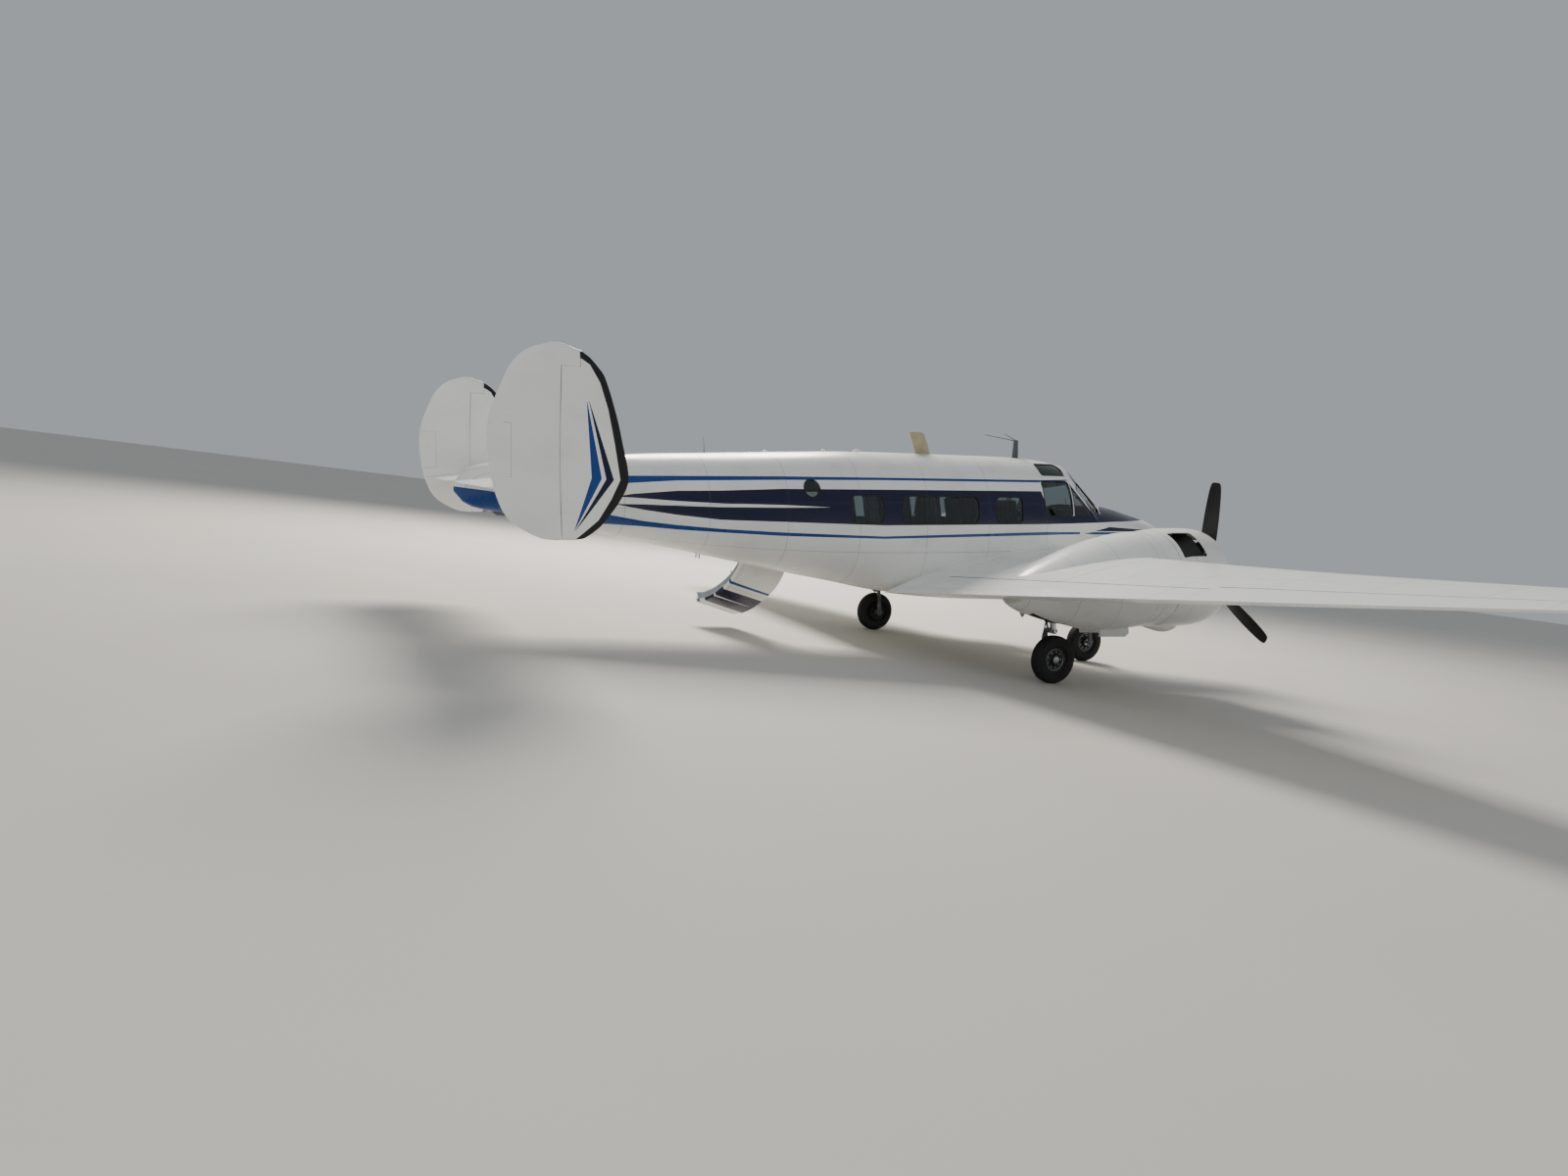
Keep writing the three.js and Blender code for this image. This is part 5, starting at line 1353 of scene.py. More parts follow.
# %% Fins
FIN_Y, RUDDER_S = 2.271, 10.040
FIN = table("z le te", [
    [1.738, 9.880, 10.040],
    [1.750, 9.790, 10.150],
    [1.860, 9.635, 10.365],
    [1.950, 9.560, 10.460],
    [2.090, 9.460, 10.524],
    [2.260, 9.392, 10.572],
    [2.600, 9.454, 10.604],
    [2.810, 9.504, 10.574],
    [3.140, 9.612, 10.442],
    [3.220, 9.672, 10.390],
    [3.300, 9.752, 10.312],
    [3.350, 9.838, 10.226],
    [3.399, 10.005, 10.075],
])
FIN_HEIGHTS = (
    [1.738, 1.741, 1.745, 1.750, 1.760, 1.775, 1.795, 1.820, 1.840] + steps(1.860, 3.140, 0.065)
    + [3.18, 3.22, 3.26, 3.285, 3.305, 3.325, 3.345, 3.36, 3.375, 3.386, 3.394, 3.399]
)


def fin_ring(z):
    le, te = along(FIN, "z", "le", z), along(FIN, "z", "te", z)
    return foil_ring((te, FIN_Y, z), te - le, 0.095, camber=0, axis="z")


fin_loft = loft([fin_ring(z) for z in FIN_HEIGHTS])
HORN_S, HORN_Z = 9.836, 3.214


def fin_space(s0, z0=1.5, z1=3.6):
    return block(s0, 10.75, FIN_Y - 0.2, FIN_Y + 0.2, z0, z1)


def hinge_tube(r):
    return tube([at(RUDDER_S, FIN_Y, 1.6), at(RUDDER_S, FIN_Y, 3.5)], r, 64)


rudder_room = join(hinge_tube(0.052), fin_space(RUDDER_S, 1.6, HORN_Z + 0.04))
rudder_room = join(trimmed(rudder_room, at(0, 0, HORN_Z + 0.040), Vector((0, 0, 1))),
                   fin_space(HORN_S, HORN_Z))
rudder = meet(fin_loft, rudder_room)
cove = join(hinge_tube(0.060), fin_space(RUDDER_S, 1.6, 3.6), fin_space(HORN_S - 0.010, HORN_Z - 0.010))
fin_brackets = [
    meet(fin_loft, block(RUDDER_S - 0.08, RUDDER_S - 0.0525, FIN_Y - 0.09, FIN_Y + 0.09, z, z + 0.04))
    for z in (2.260, 3.000)
]
fin = join(cut(fin_loft, cove), *fin_brackets)
TAB = dict(s0=10.410, s1=10.700, z0=2.270, z1=2.720)
SLOT = 0.004
s0, s1, z0, z1 = TAB.values()
tab_slots = [
    block(a, b, FIN_Y - 0.2, FIN_Y + 0.2, low, high)
    for a, b, low, high in ((s0, s0 + SLOT, z0, z1), (s0, s1, z0, z0 + SLOT), (s0, s1, z1 - SLOT, z1))
]
tab_hold = block(s0 - 0.006, s0 + 0.010, FIN_Y - 0.012, FIN_Y + 0.012, 2.28, 2.71)
rudder = join(cut(rudder, *tab_slots), tab_hold)

BOOT_EDGE = [(1.70, 9.92), (1.80, 9.80), (1.91, 9.67), (2.09, 9.56), (2.26, 9.48), (2.56, 9.53),
             (2.86, 9.59), (3.08, 9.66), (3.23, 9.75), (3.34, 9.93)]
fin_paint = enamel(
    "white_enamel_fin",
    bands=[
        (NAVY, "z", [(1.82, 9.870), (2.26, 9.540), (2.92, 9.758)],
         [(1.82, 9.874), (2.265, 9.610), (2.92, 9.762)]),
        (BLUE, "z", [(1.82, 9.880), (2.27, 9.650), (2.92, 9.778)],
         [(1.82, 9.884), (2.275, 9.740), (2.92, 9.782)]),
    ],
    rubber=[("z", [(1.70, 9.0), (3.34, 9.0)], BOOT_EDGE)], dirt=0.25,
)
fabric_rudder_paint = enamel("white_dope_on_rudder", ribs=("z", 0.21), dirt=0.22)
for word, side in SIDES.items():
    piece(f"fin_skin_{word}", on_side(fin, side), fin_paint, instead=f"fin_{word}")
    piece(f"rudder_skin_{word}", on_side(rudder, side), fabric_rudder_paint, f"rudder_{word}",
          f"rudder_{word}")
print("fin", round(FIN[-1]["z"] - FIN[0]["z"], 2), "m high")

# %% [markdown]
# ## Tailplane and elevators
# The tailplane passes through the tail cone and carries both fins. The
# elevators are covered with fabric, which shows their ribs as low ridges.

# %% Tailplane
TAIL_Z, TAIL_HALF, ELEVATOR_S = 2.172, 2.26, 10.060
ELEVATOR_Y, ELEVATOR_NOSE = (0.242, 2.190), 0.056


def tail_ring(y):
    return foil_ring((10.580, y, TAIL_Z), 1.130, 0.11, camber=0)


elevator_hinge = [at(ELEVATOR_S, y, TAIL_Z) for y in ELEVATOR_Y]
tail_body = loft([tail_ring(y) for y in steps(0, 2.3, 0.25)])
elevator, elevator_hole = hinged(tail_body, *elevator_hinge, ELEVATOR_NOSE, ELEVATOR_NOSE, 0.008)
CORNER_CUT = [(10.030, 2.215), (10.700, 1.905), (10.700, 2.6), (10.030, 2.6)]
corner_cut = loft([[at(s, y, z) for s, y in CORNER_CUT] for z in (1.8, 2.6)])
elevator = cut(elevator, corner_cut)
elevator_brackets = [
    block(ELEVATOR_S - 0.08, ELEVATOR_S - 0.0567, y - 0.018, y + 0.018, TAIL_Z - 0.009, TAIL_Z + 0.009)
    for y in (0.5, 1.9)
]
behind = ELEVATOR_S - 0.064
half_tail = cut(
    loft([tail_ring(y) for y in steps(0, TAIL_HALF, 0.25)]),
    elevator_hole, block(behind, 10.8, -0.1, 0.230, 1.9, 2.5),
    block(behind, 10.8, 2.100, 2.4, 1.9, 2.5),
)
half_tail = join(half_tail, *elevator_brackets)
fabric_elevator_paint = enamel("white_dope_on_elevator", ribs=("y", 0.21), dirt=0.3)
piece("tailplane_skin", together(half_tail, mirrored(half_tail)), plain_paint, instead="tailplane")
for word, side in SIDES.items():
    piece(f"elevator_skin_{word}", on_side(elevator, side), fabric_elevator_paint,
          f"elevator_{word}", f"elevator_{word}")
print("tailplane", 2 * TAIL_HALF, "m wide")

# %% [markdown]
# ## Wheels and tyres
# The tyres are fat and low in pressure, with four grooves round the tread.
# The wheels are two cast halves bolted together, dished round a hub.

# %% Tyres
WHEEL_R, TYRE_W, RIM_R = 0.280, 0.165, 0.152
WHEELBASE = 2.337
main_x, main_z = from_ground(0, WHEEL_R)
nose_x, nose_z = from_ground(WHEELBASE, WHEEL_R)
GROOVE_W, GROOVE_DEEP = 0.0055, 0.006
# One sidewall, from the bead out to the shoulder: part of half the width, height over the rim.
TYRE_SIDE = [
    (0.72, 0.0), (0.86, 0.006), (0.94, 0.018), (0.97, 0.034), (0.985, 0.055), (0.98, 0.078),
    (0.93, 0.098), (0.85, 0.110), (0.74, 0.1145),
]


def tyre_profile():
    w = TYRE_W / 2
    left = [(-w * u, RIM_R + r) for u, r in TYRE_SIDE]
    tread = []
    for i in range(4):
        c = (i - 1.5) * 0.030
        crown = WHEEL_R - 0.0008 - 0.008 * (abs(c) / 0.06) ** 2
        g, lip = GROOVE_W / 2, GROOVE_W / 2 + 0.0006
        tread += [(c - lip, crown), (c - g, crown - GROOVE_DEEP), (c + g, crown - GROOVE_DEEP),
                  (c + lip, crown)]
    right = [(-u, r) for u, r in reversed(left)]
    return [*left, *tread, *right, (w * 0.6, RIM_R + 0.004), (-w * 0.6, RIM_R + 0.004)]


RIM_HALF = [
    (-0.060, 0.152), (-0.0595, 0.160), (-0.054, 0.161), (-0.050, 0.152), (-0.046, 0.142),
    (-0.036, 0.130), (-0.030, 0.122), (-0.024, 0.100), (-0.026, 0.080), (-0.034, 0.062),
    (-0.050, 0.058), (-0.059, 0.054), (-0.060, 0.046), (-0.060, 0.022),
]
CAP = [(-0.066, 0), (-0.066, 0.030), (-0.062, 0.040), (-0.052, 0.043), (-0.052, 0.0)]
RIM = RIM_HALF + [(-u, r) for u, r in reversed(RIM_HALF)]


def wheel_parts(centre):
    """Tyre, cast wheel and bright bits of one wheel, about an axle across the aircraft."""
    tyre = turned(tyre_profile(), centre, "y", 88)
    rim = turned(RIM, centre, "y", 64)

    def across(angle, ring, half, r, sides):
        """A bar through the wheel, along the axle, at an angle and a distance from it."""
        p = centre + Vector((ring * math.cos(angle), 0, ring * math.sin(angle)))
        way = Vector((0, half, 0))
        return tube([p - way, p + way], r, sides)

    bolts = [across(a, 0.094, 0.034, 0.0075, 6) for a in round_angles(9)]
    rim = cut(rim, *(across(a, 0.078, 0.07, 0.0125, 16) for a in round_angles(6, 0.5)))
    cap = turned(CAP, centre, "y", 32)
    cap_in = turned([(-u, r) for u, r in reversed(CAP)], centre, "y", 32)
    stem = [centre + Vector(p) for p in ((0.118, -0.03, 0), (0.122, -0.062, 0.004))]
    valve = tube(stem, 0.004, 8)
    rings = [
        turned([(y + 0.004 * math.cos(a), 0.124 + 0.004 * math.sin(a)) for a in round_angles(10)],
               centre, "y", 64)
        for y in (-0.036, 0.036) if y * centre.y >= 0
    ]
    return tyre, rim, together(*bolts, valve, cap, cap_in, *rings)


def wheel(word, centre, body, cad_tyre):
    tyre, rim, bright = wheel_parts(centre)
    piece(f"tyre_{word}", tyre, tyre_rubber, body, cad_tyre, sharp=50)
    piece(f"rim_{word}", rim, cast_wheel, body, body)
    piece(f"wheel_bolts_{word}", bright, bright_metal, body)


for word, side in SIDES.items():
    wheel(word, Vector((main_x, side * NACELLE_Y, main_z)), f"main_wheel_{word}", f"main_tyre_{word}")
wheel("nose", Vector((nose_x, 0, nose_z)), "nose_wheel", "nose_tyre")
print("main axle in airframe axes:", round(main_x, 3), round(main_z, 3))

# %% [markdown]
# ## Main landing gear
# An oil and air strut stands over each wheel. Its chrome tube slides in a
# painted cylinder, links keep it from turning, and a crank passes round the
# inboard side of the tyre to the axle. A rubber hose feeds the brake.

# %% Main legs
Y = NACELLE_Y
IN_Y = Y - 0.128


def by_axle(dx, y, dz):
    """A point near the port main axle."""
    return Vector((main_x + dx, y, main_z + dz))


cylinder_top = Vector((main_x - 0.070, Y, 1.040))
slide_foot = by_axle(-0.018, Y, 0.322)
up = (cylinder_top - slide_foot).normalized()
leg_parts = [
    tube([slide_foot + up * 0.11, slide_foot + up * 0.12, cylinder_top], [0.044, 0.050, 0.050], 32),
    tube([slide_foot + up * 0.115, slide_foot + up * 0.150], 0.056, 32),
    tube([by_axle(-0.018, Y + 0.034, 0.332), by_axle(-0.018, Y - 0.02, 0.333),
          by_axle(-0.018, IN_Y + 0.02, 0.330)], [0.033, 0.036, 0.030], 24),
    tube(bend([by_axle(-0.018, IN_Y + 0.03, 0.332), by_axle(-0.018, IN_Y - 0.001, 0.305),
               by_axle(-0.010, IN_Y, 0.17), by_axle(0, IN_Y, -0.008)], 6),
         [0.029] * 6 + [0.028] * 6 + [0.030] * 7, 20),
    tube([by_axle(0, IN_Y - 0.022, 0), by_axle(0, IN_Y - 0.016, 0), by_axle(0, IN_Y + 0.028, 0)],
         [0.044, 0.050, 0.050], 28),
    tube([by_axle(0, IN_Y, 0), by_axle(0, Y + 0.044, 0)], 0.0208, 20),
    tube([by_axle(-0.096, Y, 0.352), by_axle(-0.014, Y, 0.332)], [0.014, 0.018], 14),
    tube([by_axle(-0.096, Y - 0.03, 0.349), by_axle(-0.096, Y + 0.03, 0.349)], 0.011, 12),
    tube([by_axle(-0.096, Y, 0.346), by_axle(-0.126, Y, 0.452)], 0.013, 14),
    tube([by_axle(-0.126, Y - 0.025, 0.452), by_axle(-0.126, Y + 0.025, 0.452)], 0.012, 12),
    tube([by_axle(-0.126, Y, 0.452), by_axle(-0.044, Y, 0.498)], [0.013, 0.016], 14),
    tube([by_axle(-0.040, Y - 0.004, 0.470), by_axle(0.328, Y - 0.004, 0.930 - main_z)], 0.020, 18),
    tube([by_axle(-0.040, Y - 0.03, 0.470), by_axle(-0.040, Y + 0.03, 0.470)], 0.026, 16),
]
slide = tube([slide_foot - up * 0.01, slide_foot + up * 0.13], 0.036, 28)
brake_disc = turned([(-0.006, 0.060), (-0.006, 0.126), (0.006, 0.126), (0.006, 0.060)],
                    by_axle(0, IN_Y + 0.058, 0), "y", 40)
AXLE_S = MAIN_S - main_x
caliper = block(AXLE_S - 0.04, AXLE_S + 0.04, IN_Y + 0.030, IN_Y + 0.052, main_z + 0.060,
                main_z + 0.110, 0.008)
hose_way = [
    by_axle(-0.030, Y + 0.03, 0.60), by_axle(-0.120, Y + 0.02, 0.53), by_axle(-0.150, Y + 0.01, 0.42),
    by_axle(-0.085, IN_Y + 0.05, 0.34), by_axle(-0.050, IN_Y - 0.012, 0.22),
    by_axle(-0.030, IN_Y + 0.02, 0.085),
]
hose = tube(bend(hose_way, 7), 0.0075, 12)
for word, side in SIDES.items():
    piece(f"leg_{word}", on_side(together(*leg_parts), side), steel_paint, instead=f"main_leg_{word}")
    piece(f"leg_slide_{word}", on_side(slide, side), chrome)
    piece(f"brake_{word}", on_side(together(caliper, brake_disc), side), cast_iron)
    piece(f"brake_hose_{word}", on_side(hose, side), seal_rubber)
print("strut stands", round((cylinder_top - slide_foot).length, 2), "m tall")

# %% [markdown]
# ## Nose gear
# The nose wheel hangs in a fork whose stem turns in the leg, to steer.

# %% Nose leg and fork
FORK_TOP = nose_z + 0.330
LEG_FOOT = FORK_TOP + 0.0965


def by_fork(dx, y, z):
    """A point near the nose axle's station."""
    return Vector((nose_x + dx, y, z))


FORK_BLADE = [
    (0.02, FORK_TOP - 0.012), (0.085, FORK_TOP - 0.016), (0.112, FORK_TOP - 0.055),
    (0.112, nose_z + 0.10), (0.112, nose_z),
]
fork_parts = [
    tube([by_fork(0, 0, FORK_TOP - 0.02), by_fork(0, 0, FORK_TOP + 0.096)], 0.034, 28),
    tube([by_fork(0.018, 0, FORK_TOP + 0.004), by_fork(0.0785, 0, FORK_TOP + 0.004)], 0.016, 16),
    tube([by_fork(0, -0.100, nose_z), by_fork(0, 0.100, nose_z)], 0.0208, 20),
]
for k in (-1, 1):
    fork_parts += [
        tube(bend([by_fork(0, k * y, z) for y, z in FORK_BLADE], 5),
             [0.028] * 10 + [0.026] * 6 + [0.023] * 5, 20),
        tube([by_fork(0, k * 0.099, nose_z), by_fork(0, k * 0.104, nose_z),
              by_fork(0, k * 0.127, nose_z)], [0.034, 0.037, 0.036], 24),
        tube([by_fork(0, k * 0.120, nose_z), by_fork(0, k * 0.127, nose_z)], 0.019, 6),
    ]
piece("fork", together(*fork_parts), steel_paint, "nose_fork", "nose_fork")
leg_tube = [
    tube([by_fork(0, 0, LEG_FOOT), by_fork(0, 0, LEG_FOOT + 0.006), by_fork(0, 0, 0.970)],
         [0.049, 0.052, 0.052], 32),
    tube([by_fork(0, 0, LEG_FOOT + 0.008), by_fork(0, 0, LEG_FOOT + 0.044)], 0.0635, 32),
    tube([by_fork(0, -0.1293, 0.945), by_fork(0, 0.1293, 0.945)], 0.0215, 20),
    tube([by_fork(0, 0, LEG_FOOT + 0.110), by_fork(-0.330, 0, 0.945)], 0.0185, 18),
    tube([by_fork(-0.330, -0.060, 0.945), by_fork(-0.330, 0.060, 0.945)], 0.0155, 16),
]
piece("nose_leg_tube", together(*leg_tube), steel_paint, instead="nose_leg")
print("fork top", round(FORK_TOP, 3))

# %% [markdown]
# ## Airstair
# The door is a bit of the cabin side, hinged at the sill, and its inner face
# is a stair. It is modelled shut and then turned open, so that the painted
# bands run across the gap as they do on the real one.

# %% Door
DOOR_GAP = 0.008
door_mesh = meet(cut(cabin_solid(0), cabin_inner), prism(grown(DOOR, -DOOR_GAP), 0.06, FAR))
door_mesh = cut(door_mesh, block(6.400, 6.448, 0.300, 0.446, 1.150, 1.262))
STEP = dict(first=0.230, pitch=0.205, count=4, wide=0.165, thick=0.016, s0=6.470, s1=7.000)
STRINGER = dict(thick=0.014, deep=0.108, foot=0.160, head=1.010)
STAIR_SUNK = 0.006  # how far the stair reaches into the door's inner face
step_way = (math.cos(math.radians(DOOR_OPEN)), math.sin(math.radians(DOOR_OPEN)))


def sill_rise(s):
    return (SILL[1] - SILL[0]) * (s - DOOR_S[0]) / (DOOR_S[1] - DOOR_S[0])


def lining_y(s, z):
    """How far the inner face of the cabin wall is from the middle, at a station and height."""
    half, top, bottom, wide, up, down = hull_section(CABIN, s, WALL)
    reach, power = (top - wide, up) if z > wide else (wide - bottom, down)
    return half * max(0.0, 1 - (abs(z - wide) / reach) ** power) ** (1 / power)


def door_step(rise, thick=STEP["thick"], ends=0.0, far=(0.0, STEP["wide"]), base=0.0):
    """A level board of the stair, made while the door is shut and the board stands on end."""
    rings = []
    c, d = step_way
    for s in (STEP["s0"] + ends, STEP["s1"] - ends):
        z = SILL[0] + rise + sill_rise(s)
        y = lining_y(s, z) + STAIR_SUNK
        rings.append([
            at(s, y + c * out - d * up, z + d * out + c * up)
            for out, up in ((far[0], base), (far[1], base), (far[1], base + thick),
                            (far[0], base + thick))
        ])
    return loft(rings)


def stringer(s):
    rings = []
    for q in (s, s + STRINGER["thick"]):
        rows = [SILL[0] + v + sill_rise(q) for v in steps(STRINGER["foot"], STRINGER["head"], 0.06)]
        inner = [at(q, lining_y(q, z) - STRINGER["deep"], z) for z in reversed(rows)]
        rings.append([at(q, lining_y(q, z) + STAIR_SUNK, z) for z in rows] + inner)
    return loft(rings)


rises = [STEP["first"] + STEP["pitch"] * i for i in range(STEP["count"])]
stairs = [door_step(r) for r in rises]
stairs += [stringer(s - STRINGER["thick"] / 2) for s in (STEP["s0"], STEP["s1"])]
hinge_rod = tube([HINGE_A, HINGE_B], 0.0078, 16)
LEAF = [(-0.004, 0), (0.004, 0), (0.010, 0.026), (-0.008, 0.026)]
leaf = loft([
    [at(s + d, y + out, z + up) for out, up in LEAF]
    for s, y, z, d in zip(DOOR_S, HINGE_Y, SILL, (0.020, -0.020))
])
opened = turn_about(HINGE_A, HINGE_WAY, DOOR_OPEN)
treads = [door_step(r, 0.003, 0.03, (0.03, 0.155), -0.003) for r in rises]
piece("airstair_skin", door_mesh, fuselage_paint, "airstair", "airstair", pose=opened)
piece("airstair_steps", together(*stairs, hinge_rod, leaf), bright_metal, "airstair",
      pose=opened)
piece("airstair_treads", together(*treads), tyre_rubber, "airstair", pose=opened)
door_pan = plain_finish("pale_grey_enamel", "#A3A5A2", 0.5, second="#8B8C88", grain=0.08)
pan = meet(
    cut(hull(CABIN, 6.3, 7.2, WALL - 0.001), hull(CABIN, 6.2, 7.3, WALL + 0.004)),
    prism(grown(DOOR, -0.030), 0.06, FAR),
)
piece("airstair_pan", pan, door_pan, "airstair", pose=opened)
print("airstair:", STEP["count"], "steps")

# %% [markdown]
# ## Antennas
# A beige blade and a grey mast with two rods stand on the roof.

# %% Roof
def roof_fin(rows, thick, roof, count=14):
    """An upright blade from (height, leading edge, trailing edge) rows, standing on a roof."""
    rings = [foil_ring((te, 0, z), te - le, thick, camber=0, axis="z", count=count)
             for z, le, te in rows]
    return cut(loft(rings), roof)


roof_z = along(CABIN, "s", "top", 4.8)
blade_rows = [(roof_z + up, le, te) for up, le, te in (
    (-0.02, 4.650, 4.882), (0.07, 4.682, 4.910), (0.14, 4.712, 4.938), (0.20, 4.740, 4.960),
    (0.245, 4.762, 4.980), (0.262, 4.780, 4.987), (0.272, 4.802, 4.989),
)]
piece("blade_antenna", roof_fin(blade_rows, 0.12, cabin_solid(0)), beige_plastic,
      instead="antenna_blade")
mast_foot = along(CABIN, "s", "top", 3.275)
mast = roof_fin([(mast_foot - 0.02, 3.232, 3.338), (2.832, 3.246, 3.318), (2.842, 3.254, 3.306)], 0.3,
                canopy_hull(0))
rods = [
    tube([at(3.263, 0, 2.826), at(3.350, k * 0.049, 2.843), at(3.634, k * 0.2095, 2.901)],
         [0.010, 0.006, 0.0045], 12)
    for k in (-1, 1)
]
mast_paint = plain_finish("grey_paint_weathered", "#5B5D60", 0.5, second="#47494B")
piece("mast_antenna", together(mast, *rods), mast_paint, instead="antenna_mast")

# %% [markdown]
# ## Behind the cowlings
# Where a cowling ends, a skirt of thin sheet carries its line back to the
# nacelle and leaves a narrow slot for the cooling air. Below it a scoop takes
# air to the oil cooler, and the exhaust leaves through one pipe. Each is a
# shell between two lofts, as a panel beater would shape it over a form.

# %% Skirt, scoop and exhaust
SKIRT_START, SKIRT_END, SKIRT_FRONT_R, SHEET = 2.8070, 2.990, 0.5825, 0.0025


def skirt_solid(inset):
    rings = []
    for t in steps(0, 1, 0.1):
        s = SKIRT_START + (SKIRT_END - SKIRT_START) * t
        behind = hull_ring(NACELLE, s, inset - 0.0035, 96, NACELLE_Y)
        axis = at(s, NACELLE_Y, ENGINE_Z)
        front = [axis + (p - axis).normalized() * (SKIRT_FRONT_R - inset) for p in behind]
        fade = t * t * (3 - 2 * t)
        rings.append([mixed(f, b, fade) for f, b in zip(front, behind)])
    return loft(rings)


skirt = cut(skirt_solid(0), between(skirt_solid(SHEET), 2.70, 3.10))
SCOOP = table("s half deep", [
    [2.285, 0.062, 0.034],
    [2.330, 0.076, 0.062],
    [2.440, 0.086, 0.080],
    [2.560, 0.080, 0.068],
    [2.680, 0.060, 0.036],
    [2.780, 0.030, 0.004],
])
SCOOP_TOP = ENGINE_Z - 0.594


def scoop_solid(inset):
    rings = []
    for s in steps(SCOOP[0]["s"], SCOOP[-1]["s"], 0.035):
        half, deep = (along(SCOOP, "s", key, s) - inset for key in ("half", "deep"))
        rings.append([
            at(s, NACELLE_Y + half * math.cos(a),
               SCOOP_TOP - (deep if math.sin(a) > 0 else 0.012) * math.sin(a))
            for a in round_angles(32, 0.5)
        ])
    return loft(rings)


scoop = cut(scoop_solid(0), between(scoop_solid(0.004), 2.20, 2.60))
PIPE = bend([(2.900, 1.700, 0.760), (3.060, 1.690, 0.660), (3.220, 1.690, 0.590),
             (3.330, 1.690, 0.560)], 6)
pipe_path = [at(*p) for p in PIPE]
pipe = cut(tube(pipe_path, 0.047, 28),
           tube([*pipe_path[2:], pipe_path[-1] * 2 - pipe_path[-2]], 0.043, 28))
for word, side in SIDES.items():
    piece(f"cowl_skirt_{word}", on_side(skirt, side), nacelle_paint)
    piece(f"cooler_scoop_{word}", on_side(scoop, side), nacelle_paint)
    piece(f"exhaust_pipe_{word}", on_side(pipe, side), burnt_steel)
print("skirt", round((SKIRT_END - SKIRT_START) * 1000), "mm deep behind each cowling")

# %% [markdown]
# ## Wheel wells
# A wheel well is a box of riveted sheet, primed against rust from the wet
# wheels and never painted over. Its dark olive is partly the primer and partly
# painted shade for the dark inside the well. Here it is a thin box with an open
# foot, trimmed to the shape of the belly, so that no edge hangs out below.

# %% Well linings
LINING = 0.003


def open_box(s0, s1, y0, y1, top):
    e = LINING
    inner = block(s0 + e, s1 - e, y0 + e, y1 - e, 0.2, top - e)
    return cut(block(s0, s1, y0, y1, 0.4, top), inner)


belly = loft([hull_ring(NACELLE, s, 0.004, 96, NACELLE_Y) for s in steps(3.30, 4.75, 0.07)])
well_half = WELL["half"] - 0.0005
well_box = meet(
    open_box(WELL["s0"] + 0.0005, WELL["s1"] - 0.0005, NACELLE_Y - well_half, NACELLE_Y + well_half,
             1.0995), belly,
)
# The main and nose well linings wear the dark primer, which is partly painted shade.
for word, side in SIDES.items():
    piece(f"well_lining_{word}", on_side(well_box, side), primer_and_well_shade)
nose_box = meet(open_box(1.6905, 2.0595, -0.1295, 0.1295, 1.0995), deck_hull(0.004))
piece("nose_well_lining", nose_box, primer_and_well_shade)
print("well", round(WELL["s1"] - WELL["s0"], 2), "m long")

# %% [markdown]
# ## Cabin floor and lining
# The floor is a sandwich board with a worn carpet on it. The walls wear foam
# backed vinyl, clipped between the frames, with a plain edge round each
# window. The lining is a thin shell just inside the skin, so it follows the
# hull by itself. Its buff is dark enough that the windows read dark from
# outside: partly the vinyl's colour, partly painted shade for the cabin's shade.

# %% Floor, bulkhead and lining
FLOOR_FRONT, FLOOR_DOOR, FLOOR_END = (1.960, 1.010), (6.400, 1.206), (7.560, 1.330)
FLOOR_LINE = [(2.095, 1.016), FLOOR_DOOR, FLOOR_END]
floor_side = FLOOR_LINE + [(s, z - 0.034) for s, z in reversed(FLOOR_LINE)]
inside_all = join(deck_hull(WALL + 0.001), canopy_hull(WALL + 0.001),
                  hull(CABIN, 3.35, 7.70, WALL + 0.001))
carpet = plain_finish("grey_loop_carpet", "#4A4B4D", 0.95, second="#35363A", grain=0.5, scale=240)
# Buff vinyl of the cabin walls and bulkhead, dark enough to be partly painted shade for the shade
# inside the cabin.
vinyl_and_cabin_shade = plain_finish("buff_vinyl_and_painted_shade", "#7D776A", 0.6, second="#6B665B", grain=0.12, scale=180)
panel_paint = plain_finish("black_crackle_enamel", "#141517", 0.7, second="#1E1F21", grain=0.3,
                           scale=200)
piece("cabin_floor_board", meet(prism(floor_side, -0.68, 0.68), inside_all), carpet,
      instead="cabin_floor")

bulkhead = cut(
    meet(block(7.600, 7.624, -0.7, 0.7, 1.3, 2.6), hull(CABIN, 7.5, 7.7, WALL + 0.001)),
    block(7.5, 7.7, -0.24, 0.24, 1.56, 2.30, edge=0.05),
)
piece("aft_bulkhead_board", bulkhead, vinyl_and_cabin_shade, instead="aft_bulkhead")
above_floor = prism([(3.41, 1.08), (6.4, 1.212), (7.595, 1.340), (7.595, 2.7), (3.41, 2.7)], -1, 1)
lining = meet(
    cut(hull(CABIN, 3.42, 7.59, WALL + 0.001), hull(CABIN, 3.35, 7.65, WALL + 0.005)), above_floor,
)
for w in WINDOWS:
    lining = cut(lining, *both_sides(round_box(**w, grow=0.012), 0.4))
lining = cut(lining, mirrored(prism(round_box(**PORTHOLE, grow=0.012), 0.4, FAR)),
             prism(grown(DOOR, 0.02), 0.06, FAR))
# The lining's darkened buff is partly painted shade, so that the windows read dark from outside.
piece("cabin_lining", lining, vinyl_and_cabin_shade)
print("cabin", round(7.600 - 3.400, 2), "m long behind the cockpit")

# %% [markdown]
# ## Instrument panel and controls
# A black glare shield stands out over a bent aluminium panel with round dials:
# six for each pilot and nine engine gauges between. Each dial is a short bar
# with a light bezel, which shows from outside as a glint. Two part wheels on
# bent columns steer, and a pedestal holds the levers.

